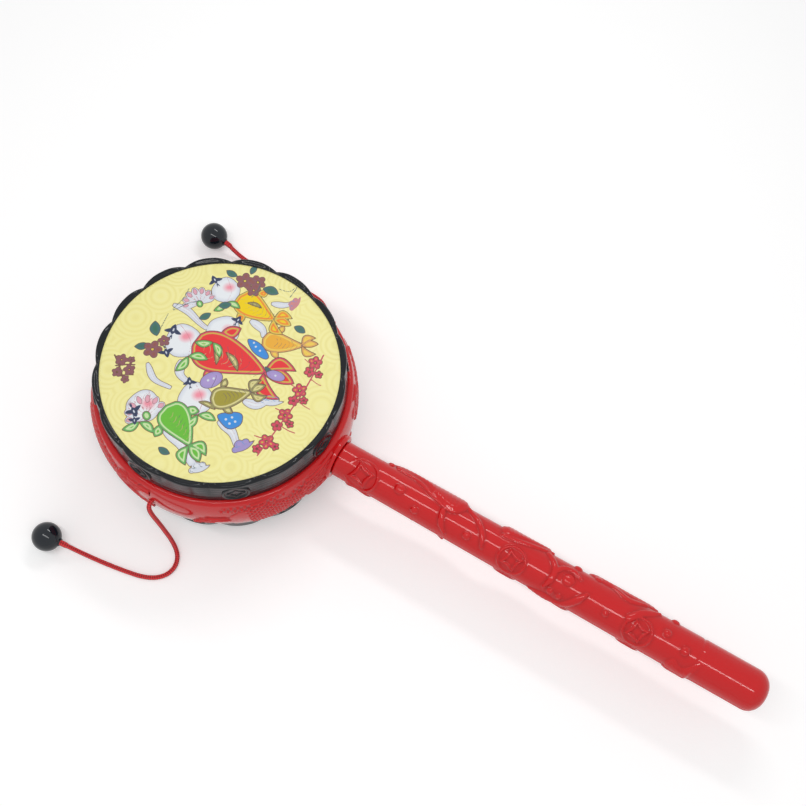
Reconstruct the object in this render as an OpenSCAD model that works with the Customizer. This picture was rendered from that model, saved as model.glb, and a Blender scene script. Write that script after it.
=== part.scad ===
// Pellet drum rattle: a flat drum on a stick, with a pellet on a cord at each side.
// The origin is on the handle's axis, in the middle of the plain ring near its end.
// Y runs along the handle to the drum, Z is the drum's axis. Sizes are in millimetres.

/* [Hoop] */
// largest radius of the red hoop, at the crown
hoop_r = 51; // [45:0.5:60]
// width of the hoop along the drum's axis
hoop_w = 24; // [18:0.5:30]
// how much the hoop's outside drops from crown to edge
hoop_crown = 1.8; // [0.5:0.1:3]
// wall of the hoop
hoop_wall = 2.2; // [1.5:0.1:3]
// rounding of the hoop's two outer edges
hoop_edge_r = 1.2; // [0.4:0.1:1.8]
// radius of the hole that a cord goes through
cord_hole_r = 1.2; // [1.1:0.05:1.6]

/* [Rims] */
// height of a rim's crests over the hoop's edge
rim_h = 13; // [11:0.25:16]
// how far the rim's wall stands in from the hoop's crown
rim_inset = 3.6; // [3.2:0.1:5]
// wall of the rim
rim_wall = 2; // [1.4:0.1:2.6]
// width of the lip over the drumhead's edge
lip_w = 1.4; // [1:0.1:4]
// number of lobes round the brim
lobes = 16; // [12:1:20]
// depth of the valley between two lobes
lobe_depth = 2; // [1:0.1:2.6]
// height of the crest that is cut flat
crest_cut = 0.25; // [0.1:0.05:0.5]
// thickness of the lip that clamps the drumhead
lip_t = 0.5; // [0.4:0.05:0.9]

/* [Cash coins] */
// number of coins round each rim
rim_coins = 8; // [6:1:10]
// radius of a coin, as a share of the rim's height
coin_share = 0.4; // [0.32:0.01:0.42]
// how far a rim coin's face stands out of the rim
coin_stand = 1.5; // [0.8:0.1:1.8]
// width of the raised ring round a coin
coin_ring = 1; // [0.6:0.1:1.4]
// side of the raised square frame
coin_frame = 5; // [4:0.1:5.4]
// side of the square hole in the frame
coin_square = 3; // [2:0.1:3.4]
// depth of the sunk parts of a coin
coin_sink = 0.7; // [0.3:0.1:1]
// direction of the front rim's first coin, in degrees
front_coin_at = 39.375; // [30:0.125:60]
// direction of the back rim's first coin, in degrees
back_coin_at = 16.25; // [10:0.125:40]

/* [Drumheads] */
// thickness of a drumhead
head_t = 0.6; // [0.4:0.05:1]
// height of the drumhead's dome
head_rise = 1; // [0.4:0.1:1.2]

/* [Handle] */
// length of the handle from the hoop's boss to its end
handle_l = 179; // [140:1:200]
// radius of the handle at the hoop
handle_root_r = 7.1; // [6.8:0.1:8.4]
// radius of the handle at its plain ring
handle_end_r = 8.1; // [7.8:0.1:10]
// length of the plain ring near the end
ring_l = 16; // [10:0.5:24]
// plain length from that ring to the rounding of the handle's end
end_plain_l = 5; // [0:0.5:10]
// rounding of the handle's end
end_round = 6; // [3:0.25:7]
// wall of the two half shells
handle_wall = 1.7; // [1.3:0.1:2.4]
// radius of the neck that goes through the hoop
neck_r = 6.5; // [5:0.1:6.6]
// radius of the flange that holds the neck inside the hoop
flange_r = 8.5; // [7.5:0.1:9]
// thickness of that flange
flange_t = 2; // [1.2:0.1:3]
// radius of the hoop's boss round the neck
boss_r = 9; // [8:0.1:10]
// height of that boss over the hoop's crown
boss_h = 1; // [0.5:0.1:2]
// height of the relief on the handle and the hoop
relief_h = 0.6; // [0.3:0.05:1]
// radius of the raised dots on the handle
dot_r = 1.9; // [0.8:0.1:2.4]

/* [Relief] */
// length of a leaf on the handle
leaf_l = 26; // [18:0.5:32]
// width of a leaf on the handle
leaf_w = 5; // [3:0.25:6]
// length of a fish on the hoop, without its tail
fish_l = 26; // [18:0.5:28]
// width of a fish on the hoop
fish_w = 12; // [8:0.5:15]

/* [Cords and pellets] */
// radius of a cord
cord_r = 0.9; // [0.6:0.05:1]
// radius of a pellet
pellet_r = 5.7; // [5:0.1:7]
// radius of the collar where the cord goes in
collar_r = 2.1; // [1.8:0.1:2.6]
// how far the collar stands out of the pellet
collar_h = 0.9; // [0.4:0.1:1.5]
// depth of the pellet's hole, from the collar's end
bore_depth = 5; // [3:0.25:6]
// radius of the knot inside the hoop
knot_r = 2; // [1.6:0.1:2.6]

/* [Hidden] */

// clearances and the overrun of every cut
seat_gap = 0.2;
neck_gap = 0.1;
bore_gap = 0.1;
over = 1;

// steps of the curved outlines, and sides of round pieces
crown_steps = 10;
edge_steps = 4;
dome_steps = 8;
round_fn = 96;
fine_fn = 48;
cord_sides = 8;

// hoop: sizes that follow
hoop_half = hoop_w / 2;
hoop_flat = hoop_half - hoop_edge_r;
hoop_in_r = hoop_r - hoop_wall;
rim_r = hoop_r - rim_inset;
rim_bore_r = rim_r - rim_wall;
head_open_r = rim_bore_r - lip_w;
web_t = 2;
web_z = hoop_half - web_t;
spigot_t = 1.6;
spigot_r = rim_bore_r - seat_gap;
spigot_in_r = spigot_r - spigot_t;
half_turn = 180;
quarter_turn = half_turn / 2;
seam_turn = 37.5;

// drumhead and rim: heights above the middle plane
half_depth = hoop_half + rim_h;
lip_top_drop = 0.7;
lip_top_z = half_depth - lip_top_drop;
head_top_z = lip_top_z - lip_t;
head_low_z = head_top_z - head_t;
head_flat_in_r = min(spigot_in_r, head_open_r) - seat_gap;
brim_start_drop = 3.2;
brim_z = half_depth - brim_start_drop;
brim_draft = 0.5;
crest_in = 1.5;
crest_out = 1.3;
valley_z = half_depth + crest_cut - lobe_depth;
crest_z = half_depth + crest_cut;
lobe_step = 360 / lobes;
lobe_half_chord = rim_r * sin(lobe_step / 2);
lobe_cyl_r = (pow(lobe_half_chord, 2) + pow(lobe_depth, 2)) / (2 * lobe_depth);
lobe_from_r = head_open_r - over;
lobe_to_r = rim_r + over;
coin_r = rim_h * coin_share;
coin_z = hoop_half + rim_h / 2;
coin_step = 360 / rim_coins;
coin_face_r = rim_r + coin_stand;

// handle: distances are measured from the drum's centre
root_at = hoop_r + boss_h;
tip_at = root_at + handle_l;
round_from_at = tip_at - end_round;
ring_end_at = round_from_at - end_plain_l;
ring_start_at = ring_end_at - ring_l;
drum_y = ring_end_at - ring_l / 2;
bore_r = neck_r - handle_wall;
neck_edge = 0.4;
flange_side = sqrt(pow(hoop_in_r, 2) - pow(flange_r, 2));
flange_top = hoop_in_r - hoop_crown * pow(flange_r / hoop_half, 2);
flange_out = min(flange_side, flange_top) - seat_gap;
flange_in = flange_out - flange_t;
boss_sink_share = 0.7;
boss_from = hoop_r - hoop_wall * boss_sink_share;

// places of the three coins along the handle, as shares of its length, and their turn in degrees
handle_coin_shares = [0.063, 0.424, 0.713];
handle_coin_turn = 33;

// dots on the handle: share of its length, and turn from the top in degrees
handle_dots = [[0.15, -10], [0.197, -45], [0.318, -34], [0.544, 0], [0.64, -31], [0.766, 4], [0.813, -14]];

// leaves on the handle: share of its length, turn from the top, tilt and share of a leaf's size
handle_leaves = [[0.201, 62, 6, 1.2], [0.436, 60, -4, 0.85], [0.659, 64, 2, 1.1],
    [0.274, -36, -34, 0.5], [0.335, 4, -40, 0.7], [0.508, -62, 2, 0.7],
    [0.588, -40, -36, 0.55], [0.8, -55, 6, 0.5], [0.136, -72, 3, 0.8]];

// fish and leaves on the hoop: direction in degrees, and tilt
upper_fish = [[46, 176], [132, 4]];
lower_fish = [[226, 4], [316, 176]];
fish_fin_turn = 24;
fish_fin_share = 0.6;

// cords: how far apart the pieces lie at a bend that swings, and the round of their ends
swing_gap = 1.6;
swing_cap = 0.8;
swing_taper = 0.6;
cap_share = 0.5;
knot_shares = [-0.98, -0.8, -0.4, 0, 0.4, 0.75, 0.92];

// the route of each cord: out from the hoop's crown, along Y, and up from the middle plane
left_hang = [[-1, 0, 0], [1.2, 0, -0.2], [2.8, -0.6, -1.6], [3.6, -2, -4.8],
    [4, -4, -9.5], [4.6, -6.4, -14.5], [5.6, -9.4, -19.5]];
right_hang = [[-1, 0, 0], [1.2, 0, -0.2], [2.8, -0.6, -1.6], [3.6, -1.8, -4.8],
    [4, -3.4, -9.5], [4.6, -5.4, -14.5], [5.8, -7.6, -19.5]];

// the same on the floor, with the height above the floor in place of the last number
left_floor = [[7.4, -12.4, 2], [10, -14.6, 1], [13.6, -15.6, 1], [17.4, -14.6, 1], [20.6, -11.6, 1],
    [22.8, -7, 1], [24.2, -1, 1], [25.4, 6, 1], [26.4, 13, 1.4], [27.4, 19.6, 3.6],
    [28.1, 24.8, 5.7], [28.6, 29.5, 5.7], [28.9, 32, 5.7]];
right_floor = [[8, -8.6, 2], [11, -7.6, 1], [13.2, -4.2, 1], [14, 0.6, 1], [14, 6, 1],
    [13.8, 12, 1], [13.6, 18, 1], [13.4, 24, 1], [13.3, 30, 1], [13.4, 36, 1.8],
    [13.8, 40.8, 3.8], [14.1, 43.8, 5.7], [14.3, 48.5, 5.7], [14.4, 51, 5.7]];

// outline helpers
function crown_at(z) = hoop_r - hoop_crown * pow(z / hoop_half, 2);
function crown_line(low, high, inset) =
    [for (i = [0:crown_steps]) let (z = low + (high - low) * i / crown_steps) [crown_at(z) - inset, z]];
function flip(points) = [for (i = [len(points) - 1:-1:0]) [points[i][0], -points[i][1]]];
function edge_round(r, z, radius) =
    [for (i = [1:edge_steps]) let (a = 90 * i / edge_steps) [r - radius * (1 - cos(a)), z + radius * sin(a)]];
function dome_line(top) =
    [for (i = [0:dome_steps]) let (r = head_flat_in_r * (1 - i / dome_steps))
        [r, top + head_rise * (1 - pow(r / head_flat_in_r, 2))]];

// one half of the hoop's section, from the crown's end to the spigot
hoop_edge = edge_round(crown_at(hoop_flat), hoop_flat, hoop_edge_r);
hoop_top = concat(hoop_edge, [
    [spigot_r, hoop_half],
    [spigot_r, head_low_z],
    [spigot_in_r, head_low_z],
    [spigot_in_r, web_z]]);

module hoop_section() {
    polygon(concat(
        crown_line(-hoop_flat, hoop_flat, 0),
        hoop_top,
        crown_line(web_z, -web_z, hoop_wall),
        flip(hoop_top)));
}

// an outline of two arcs that meet in two points
module leaf_shape(length, width) {
    arc_r = (pow(length, 2) + pow(width, 2)) / (4 * width);
    intersection() {
        translate([0, arc_r - width / 2])
            circle(r = arc_r, $fn = round_fn);
        translate([0, width / 2 - arc_r])
            circle(r = arc_r, $fn = round_fn);
    }
}

// a fish seen from above: a body, and a tail of two leaves
module fish_shape(length, width) {
    leaf_shape(length, width);
    for (side = [-1, 1])
        translate([length * fish_fin_share, side * width / 4])
            rotate([0, 0, side * fish_fin_turn])
                leaf_shape(length * fish_fin_share, width / 3);
}

// fish raised on the crown, between its two edges
module hoop_fish(places) {
    intersection() {
        rotate_extrude(angle = half_turn, $fn = round_fn)
            polygon(concat(
                crown_line(-hoop_flat, hoop_flat, -relief_h),
                crown_line(hoop_flat, -hoop_flat, hoop_wall / 2)));
        for (place = places)
            rotate([0, 0, place[0]])
                rotate([90, 0, 90])
                    rotate([0, 0, place[1]])
                        linear_extrude(hoop_r + over)
                            fish_shape(fish_l, fish_w);
    }
}

module cord_holes(seam) {
    for (side = [0, 1])
        mirror([side, 0, 0])
            translate([hoop_in_r - over, 0, 0])
                rotate([0, 90, 0])
                    rotate([0, 0, seam])
                        cylinder(r = cord_hole_r, h = hoop_wall + 2 * over, $fn = fine_fn);
}

module hoop_upper_half() {
    color("#c81e2a")
    translate([0, drum_y, 0])
    difference() {
        union() {
            rotate_extrude(angle = half_turn, $fn = round_fn)
                hoop_section();
            hoop_fish(upper_fish);
        }
        cord_holes(-quarter_turn);
    }
}

// a cylinder on the handle's axis, between two distances from the drum's centre
module neck_cylinder(r, from, to) {
    translate([0, -from, 0])
        rotate([90, 0, 0])
            rotate([0, 0, seam_turn])
                cylinder(r = r, h = to - from, $fn = fine_fn);
}

module hoop_lower_half() {
    color("#c81e2a")
    translate([0, drum_y, 0])
    difference() {
        union() {
            rotate([0, 0, half_turn])
                rotate_extrude(angle = half_turn, $fn = round_fn)
                    hoop_section();
            rotate([0, 0, half_turn])
                hoop_fish([for (place = lower_fish) [place[0] - half_turn, place[1]]]);
            neck_cylinder(boss_r, boss_from, root_at);
        }
        cord_holes(quarter_turn);
        neck_cylinder(neck_r + neck_gap, flange_in, root_at + over);
    }
}

// the rim's plain ring: wall, lip and the slope down to the valleys
module rim_ring() {
    rotate_extrude($fn = round_fn)
        polygon([
            [rim_bore_r, hoop_half],
            [rim_r, hoop_half],
            [rim_r - brim_draft / 2, brim_z],
            [rim_r - brim_draft, valley_z - lip_t],
            [rim_r - brim_draft - lip_t, valley_z],
            [head_open_r + lip_t, lip_top_z],
            [head_open_r, lip_top_z - lip_t / 2],
            [head_open_r, head_top_z],
            [rim_bore_r, head_top_z]]);
}

// the space that the lobes fill, round the ring's outer edge
module lobe_ring() {
    rotate_extrude($fn = round_fn)
        polygon([
            [head_open_r + lip_t / 2, head_top_z],
            [rim_bore_r, head_top_z],
            [rim_bore_r + lip_t / 2, head_top_z - lip_t],
            [rim_r - brim_draft / 2, head_top_z - lip_t],
            [rim_r - brim_draft / 2, lip_top_z - lip_t],
            [rim_r - crest_out, half_depth],
            [head_open_r + crest_in - lip_t, half_depth],
            [head_open_r + lip_t / 2, lip_top_z]]);
}

module lobe_rolls() {
    for (i = [0:lobes - 1])
        rotate([0, 0, i * lobe_step])
            translate([lobe_from_r, 0, crest_z - lobe_cyl_r])
                rotate([0, 90, 0])
                    cylinder(r = lobe_cyl_r, h = lobe_to_r - lobe_from_r, $fn = round_fn);
}

module coin_sunk_parts(r) {
    linear_extrude(coin_sink + over)
        difference() {
            circle(r = r - coin_ring, $fn = fine_fn);
            square(coin_frame, center = true);
        }
    linear_extrude(coin_sink + over)
        square(coin_square, center = true);
}

module at_rim_coins(from_r) {
    for (i = [0:rim_coins - 1])
        rotate([0, 0, i * coin_step])
            translate([from_r, 0, coin_z])
                rotate([0, 90, 0])
                    children();
}

// one rim, with its first coin along X, under the crest of a lobe
module rim() {
    difference() {
        union() {
            rim_ring();
            intersection() {
                lobe_ring();
                lobe_rolls();
            }
            at_rim_coins(rim_bore_r + rim_wall / 2)
                cylinder(r = coin_r, h = coin_face_r - rim_bore_r - rim_wall / 2, $fn = fine_fn);
        }
        at_rim_coins(coin_face_r - coin_sink)
            rotate([0, 0, 45])
                coin_sunk_parts(coin_r);
    }
}

module front_rim() {
    color("#23282b")
    translate([0, drum_y, 0])
        rotate([0, 0, front_coin_at])
            rim();
}

module back_rim() {
    color("#23282b")
    translate([0, drum_y, 0])
        rotate([0, 0, back_coin_at])
            mirror([0, 0, 1])
                rim();
}

module head() {
    rotate_extrude($fn = round_fn)
        polygon(concat(
            [[spigot_r, head_low_z], [spigot_r, head_top_z]],
            dome_line(head_top_z),
            [for (i = [dome_steps:-1:0]) dome_line(head_low_z)[i]]));
}

module front_head() {
    color("#e9e08a")
    translate([0, drum_y, 0])
        head();
}

module back_head() {
    color("#e9e08a")
    translate([0, drum_y, 0])
        mirror([0, 0, 1])
            head();
}

// the handle's section: radius and distance from the drum's centre
handle_out = concat(
    [[flange_r, flange_in],
    [flange_r, flange_out],
    [neck_r, flange_out],
    [neck_r, root_at],
    [handle_root_r - neck_edge, root_at],
    [handle_root_r, root_at + neck_edge],
    [handle_end_r, ring_start_at],
    [handle_end_r, round_from_at]],
    edge_round(handle_end_r, round_from_at, end_round));
inner_round = end_round - handle_wall;
handle_in = concat(
    [[bore_r, flange_in],
    [bore_r, root_at + handle_wall],
    [handle_root_r - handle_wall, root_at + handle_wall],
    [handle_end_r - handle_wall, ring_start_at],
    [handle_end_r - handle_wall, round_from_at]],
    edge_round(handle_end_r - handle_wall, round_from_at, inner_round));

module handle_shell() {
    rotate([90, 0, 0])
        rotate_extrude(angle = half_turn, $fn = round_fn)
            polygon(concat(
                handle_out,
                [[0, tip_at], [0, tip_at - handle_wall]],
                [for (i = [len(handle_in) - 1:-1:0]) handle_in[i]]));
}

// the handle's outside, raised by the relief, that the coins are cut from
module relief_shell() {
    rotate([90, 0, 0])
        rotate_extrude(angle = half_turn, $fn = round_fn)
            polygon([
                [handle_root_r - handle_wall / 2, root_at + handle_wall],
                [handle_root_r + relief_h, root_at + handle_wall],
                [handle_end_r + relief_h, ring_start_at],
                [handle_end_r - handle_wall / 2, ring_start_at]]);
}

module coin_raised(r) {
    linear_extrude(handle_end_r + over)
        difference() {
            circle(r = r, $fn = fine_fn);
            circle(r = r - coin_ring, $fn = fine_fn);
        }
    linear_extrude(handle_end_r + over)
        difference() {
            square(coin_frame, center = true);
            square(coin_square, center = true);
        }
}

// moves a shape to a share of the handle's length, and turns it from the top
module on_handle(share, turn) {
    rotate([0, turn, 0])
        translate([0, -root_at - handle_l * share, 0])
            children();
}

// one half shell with its coins, dots and leaves
module handle_half() {
    handle_shell();
    intersection() {
        relief_shell();
        union() {
            for (share = handle_coin_shares)
                on_handle(share, -handle_coin_turn)
                    rotate([0, 0, 45])
                        coin_raised(coin_r);
            for (dot = handle_dots)
                on_handle(dot[0], dot[1])
                    cylinder(r = dot_r, h = handle_end_r + over, $fn = fine_fn);
            for (leaf = handle_leaves)
                on_handle(leaf[0], leaf[1])
                    rotate([0, 0, quarter_turn + leaf[2]])
                        linear_extrude(handle_end_r + over)
                            leaf_shape(leaf_l * leaf[3], leaf_w * leaf[3]);
        }
    }
}

module handle_front_half() {
    color("#c81e2a")
    translate([0, drum_y, 0])
        handle_half();
}

module handle_back_half() {
    color("#c81e2a")
    translate([0, drum_y, 0])
        mirror([0, 0, 1])
            handle_half();
}

// cords: the whole route of one side, then its pieces
function unit(v) = v / norm(v);
function cut(points, first, last) = [for (i = [first:last]) points[i]];
function hang_points(side, rows) = [for (p = rows) [side * (hoop_r + p[0]), drum_y + p[1], p[2]]];
function floor_points(side, rows) =
    [for (p = rows) [side * (hoop_r + p[0]), drum_y + p[1], p[2] - half_depth]];
function tube_dir(p, i) = unit(p[min(i + 1, len(p) - 1)] - p[max(i - 1, 0)]);
function tube_side(p, i) =
    i == 0
    ? unit(cross(tube_dir(p, 0), [0, 1, 1]))
    : let (s = tube_side(p, i - 1), d = tube_dir(p, i)) unit(s - (s * d) * d);
function tube_ring(p, i, r) =
    let (s = tube_side(p, i), d = tube_dir(p, i), t = cross(d, s))
    [for (k = [0:cord_sides - 1])
        p[i] + r * (cos(k * 360 / cord_sides) * s + sin(k * 360 / cord_sides) * t)];
function step_on(points, i, far) = points[i] + far * unit(points[i + 1] - points[i]);
function step_past(points, i, far) = points[i] + far * unit(points[i] - points[i - 1]);

swing_i = 3;
bend_i = 1;
left_a = hang_points(-1, left_hang);
left_b = floor_points(-1, left_floor);
right_a = hang_points(1, right_hang);
right_b = floor_points(1, right_floor);

function ends_share(points, first_share, last_share) =
    [for (i = [0:len(points) - 1]) i == 0 ? first_share : (i == len(points) - 1 ? last_share : 1)];

module tube(points, radii) {
    last = len(points) - 1;
    rings = [for (i = [0:last]) tube_ring(points, i, radii[i])];
    sides = [for (i = [0:last - 1], k = [0:cord_sides - 1])
        let (a = i * cord_sides + k, b = i * cord_sides + (k + 1) % cord_sides)
        [a, a + cord_sides, b + cord_sides, b]];
    first_cap = [for (k = [0:cord_sides - 1]) k];
    last_cap = [for (k = [cord_sides - 1:-1:0]) last * cord_sides + k];
    polyhedron([for (ring = rings, p = ring) p], concat(sides, [first_cap, last_cap]));
}

// the knot inside the hoop, the cord through the wall, and its first bend
module cord_root(side, hang) {
    middle = hoop_in_r - seat_gap - knot_r;
    knot = [for (share = knot_shares) [side * (middle + knot_r * share), drum_y, 0]];
    knot_radii = [for (share = knot_shares) max(cord_r * cap_share, knot_r * sqrt(1 - share * share))];
    rest = concat(cut(hang, 0, swing_i), [step_past(hang, swing_i, swing_cap)]);
    color("#b5202c")
        tube(concat(knot, rest), concat(knot_radii, cord_r * ends_share(rest, 1, cap_share)));
}

// the stretch that hangs beside the drum, down to the bend on the floor
module cord_upper(hang, floor) {
    line = concat(
        [step_on(hang, swing_i, swing_gap), step_on(hang, swing_i, swing_gap + swing_taper)],
        cut(hang, swing_i + 1, len(hang) - 1),
        cut(floor, 0, bend_i),
        [step_past(floor, bend_i, swing_cap)]);
    color("#b5202c")
        tube(line, cord_r * ends_share(line, cap_share, cap_share));
}

// the stretch on the floor, that ends in the pellet's hole
module cord_lower(floor) {
    line = concat(
        [step_on(floor, bend_i, swing_gap), step_on(floor, bend_i, swing_gap + swing_taper)],
        cut(floor, bend_i + 1, len(floor) - 2));
    color("#b5202c")
        tube(line, cord_r * ends_share(line, cap_share, 1));
}

module pellet(floor) {
    last = len(floor) - 1;
    out = floor[last - 1] - floor[last];
    turn = atan2(out[1], out[0]);
    lean = acos(out[2] / norm(out));
    color("#1d2022")
    translate([floor[last][0], floor[last][1], pellet_r - half_depth])
        rotate([0, lean, turn])
            difference() {
                union() {
                    sphere(r = pellet_r, $fn = fine_fn);
                    cylinder(r = collar_r, h = pellet_r + collar_h, $fn = fine_fn);
                }
                translate([0, 0, pellet_r + collar_h - bore_depth])
                    cylinder(r = cord_r + bore_gap, h = bore_depth + over, $fn = fine_fn);
            }
}

module left_cord_root() {
    cord_root(-1, left_a);
}

module left_cord_upper() {
    cord_upper(left_a, left_b);
}

module left_cord_lower() {
    cord_lower(left_b);
}

module left_pellet() {
    pellet(left_b);
}

module right_cord_root() {
    cord_root(1, right_a);
}

module right_cord_upper() {
    cord_upper(right_a, right_b);
}

module right_cord_lower() {
    cord_lower(right_b);
}

module right_pellet() {
    pellet(right_b);
}

hoop_upper_half();
hoop_lower_half();
front_rim();
back_rim();
front_head();
back_head();
handle_front_half();
handle_back_half();
left_cord_root();
left_cord_upper();
left_cord_lower();
left_pellet();
right_cord_root();
right_cord_upper();
right_cord_lower();
right_pellet();
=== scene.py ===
# %% [markdown]
# # Pellet drum rattle
# A pellet drum is a flat drum on a stick: turned to and fro, it swings two corded pellets against its
# heads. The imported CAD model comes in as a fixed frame, and each visible piece is built over it as a
# numpy surface with a procedural material. Sizes are in millimetres and are turned into metres last.

# %% Load the frame
import math
import bpy
import numpy as np
from mathutils import Matrix, Vector


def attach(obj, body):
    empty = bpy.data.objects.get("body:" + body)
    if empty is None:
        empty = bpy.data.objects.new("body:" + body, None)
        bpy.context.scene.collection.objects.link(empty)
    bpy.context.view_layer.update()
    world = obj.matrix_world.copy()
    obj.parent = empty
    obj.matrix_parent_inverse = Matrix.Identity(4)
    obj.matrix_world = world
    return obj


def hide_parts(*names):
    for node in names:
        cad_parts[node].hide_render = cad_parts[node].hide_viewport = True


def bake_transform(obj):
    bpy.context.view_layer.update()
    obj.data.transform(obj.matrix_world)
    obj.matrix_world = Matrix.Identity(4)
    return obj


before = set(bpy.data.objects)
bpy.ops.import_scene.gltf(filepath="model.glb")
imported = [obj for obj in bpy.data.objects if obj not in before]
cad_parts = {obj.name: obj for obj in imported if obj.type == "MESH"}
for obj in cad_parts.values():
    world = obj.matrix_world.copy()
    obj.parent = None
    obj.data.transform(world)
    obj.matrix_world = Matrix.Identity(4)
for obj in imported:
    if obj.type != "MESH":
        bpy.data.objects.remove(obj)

MM = 0.001
CENTRE = np.array([0.0, 212.0, 0.0])
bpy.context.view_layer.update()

# %% [markdown]
# A product shot is taken from a little above and beside. Its camera could be placed by eye; here it was
# fitted to the drum's ellipse, the rims and the handle's end, because a long handle shows any error.
# The real rattle leans a few degrees on its handle's end, and that lean is part of the camera's pose.

# %% Camera
# Turn, height and roll in degrees, distance, lens and sensor in millimetres, nearest depth in metres.
AZ, EL, ROLL, DIST = 68.59, 67.57, 8.96, 434.0
LENS, SENSOR, NEAR = 49.13, 36.0, 0.01
TARGET = CENTRE + np.array([32.3, -61.4, 0.0])


def aim_camera(az, el, roll, distance, target, lens):
    """Looks along (sin az cos el, cos az cos el, -sin el), turned by roll about that line."""
    az, el, roll = np.radians([az, el, roll])
    forward = np.array([np.sin(az) * np.cos(el), np.cos(az) * np.cos(el), -np.sin(el)])
    right = np.cross(forward, [0, 0, 1])
    right /= np.linalg.norm(right)
    up = np.cross(right, forward)
    r2 = np.cos(roll) * right + np.sin(roll) * up
    u2 = -np.sin(roll) * right + np.cos(roll) * up
    data = bpy.data.cameras.new("camera")
    data.lens = lens
    data.sensor_width = SENSOR
    data.clip_start = NEAR
    cam = bpy.data.objects.new("camera", data)
    bpy.context.scene.collection.objects.link(cam)
    place = (target - forward * distance) * MM
    axes = np.round(np.array([r2, u2, -forward]).T, 9)
    cam.matrix_world = Matrix([[*v, 0] for v in axes] + [[0, 0, 0, 1]])
    cam.location = Vector(place)
    bpy.context.scene.camera = cam
    return cam


camera = aim_camera(AZ, EL, ROLL, DIST, TARGET, LENS)
print("camera at", [round(v, 4) for v in camera.location])

# %% [markdown]
# A moulded shell has no thin edge: it closes on itself. Such a surface could be joined from several
# meshes; a single grid of points whose rows or columns wrap round is simpler and leaves no gap. The
# sign of the volume that it encloses tells whether its faces look outward, and it is turned if not.

# %% A closed surface from a grid
def net(name, grid, wrap_rows=False, wrap_cols=True, **values):
    """A closed surface: point (i, j) is joined to (i+1, j), (i+1, j+1) and (i, j+1)."""
    rows, cols = grid.shape[:2]
    index = np.arange(rows * cols).reshape(rows, cols)
    index = np.vstack([index, index[:1]]) if wrap_rows else index
    index = np.hstack([index, index[:, :1]]) if wrap_cols else index
    quads = np.stack([index[:-1, :-1], index[1:, :-1], index[1:, 1:], index[:-1, 1:]], -1).reshape(-1, 4)
    points = grid.reshape(-1, 3) * MM
    a, b, c, d = (points[quads[:, k]] - points.mean(0) for k in range(4))
    volume = (np.einsum("ij,ij->i", a, np.cross(b, c)) + np.einsum("ij,ij->i", a, np.cross(c, d))).sum()
    quads = quads[:, ::-1] if volume < 0 else quads
    mesh = bpy.data.meshes.new(name)
    mesh.vertices.add(len(points))
    mesh.vertices.foreach_set("co", points.ravel())
    mesh.loops.add(quads.size)
    mesh.loops.foreach_set("vertex_index", quads.ravel().astype(np.int32))
    mesh.polygons.add(len(quads))
    mesh.polygons.foreach_set("loop_start", np.arange(0, quads.size, 4, dtype=np.int32))
    mesh.update(calc_edges=True)
    mesh.validate()
    mesh.shade_smooth()
    for key, value in values.items():
        mesh.attributes.new(key, "FLOAT", "POINT").data.foreach_set(
            "value", np.ascontiguousarray(value, np.float32).ravel())
    piece = bpy.data.objects.new(name, mesh)
    bpy.context.scene.collection.objects.link(piece)
    print(f"{name}: {rows} x {cols} points, {2 * len(quads)} triangles, {abs(volume) / 6 / MM**3:.0f} mm3")
    return piece

# %% [markdown]
# Soft steps and smooth lines turn up in every piece below. The step is a cubic, so that relief meets
# its ground without a crease, and the curve passes through its points, so that they can be read off.

# %% Soft steps and smooth curves
def smooth(x):
    """0 below 0, 1 above 1, and 3x2 - 2x3 between."""
    x = np.clip(x, 0, 1)
    return x * x * (3 - 2 * x)


def curve(points, steps=8, closed=True):
    """A Catmull-Rom curve through the points: each stretch is a cubic set by its four nearest points."""
    p = np.asarray(points, float)
    ends = (p[-1:], p[:2]) if closed else (2 * p[:1] - p[1:2], 2 * p[-1:] - p[-2:-1])
    q = np.vstack([ends[0], p, ends[1]])
    n = len(p) if closed else len(p) - 1
    t = (np.arange(steps) / steps)[None, :, None]
    a, b, c, d = (q[k:k + n][:, None, :] for k in range(4))
    out = 0.5 * (2 * b + (c - a) * t + (2 * a - 5 * b + 4 * c - d) * t**2 + (3 * b - a - 3 * c + d) * t**3)
    out = out.reshape(-1, p.shape[1])
    return out if closed else np.vstack([out, p[-1:]])


print("soft step at 0, 1/4, 1/2 and 1:", smooth(np.array([0, 0.25, 0.5, 1])))

# %% [markdown]
# Materials are built from nodes in code. Three helpers keep that short: one makes a shader group with
# named sockets, one adds a math node, and one mixes two colours.

# %% Shader helpers
def new_group(name, sockets):
    """A shader group with the sockets given as (name, in or out, type, default)."""
    group = bpy.data.node_groups.new(name, "ShaderNodeTree")
    for label, way, kind, default in sockets:
        socket = group.interface.new_socket(label, in_out=way, socket_type=kind)
        if default is not None:
            socket.default_value = default
    return group, group.nodes.new("NodeGroupInput"), group.nodes.new("NodeGroupOutput")


def math_node(tree, kind, a, b=None, c=None):
    """One math node; each input is a socket or a number."""
    node = tree.nodes.new("ShaderNodeMath")
    node.operation = kind
    for slot, value in zip(node.inputs, (a, b, c)):
        if isinstance(value, (int, float)):
            slot.default_value = value
        elif value is not None:
            tree.links.new(value, slot)
    return node.outputs[0]


def mix_colour(tree, factor, a, b):
    """Mixes two colours; each input is a socket or a value."""
    node = tree.nodes.new("ShaderNodeMix")
    node.data_type = "RGBA"
    for slot, value in zip((node.inputs[0], node.inputs[6], node.inputs[7]), (factor, a, b)):
        if isinstance(value, (int, float, tuple)):
            slot.default_value = value
        else:
            tree.links.new(value, slot)
    return node.outputs[2]

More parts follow.
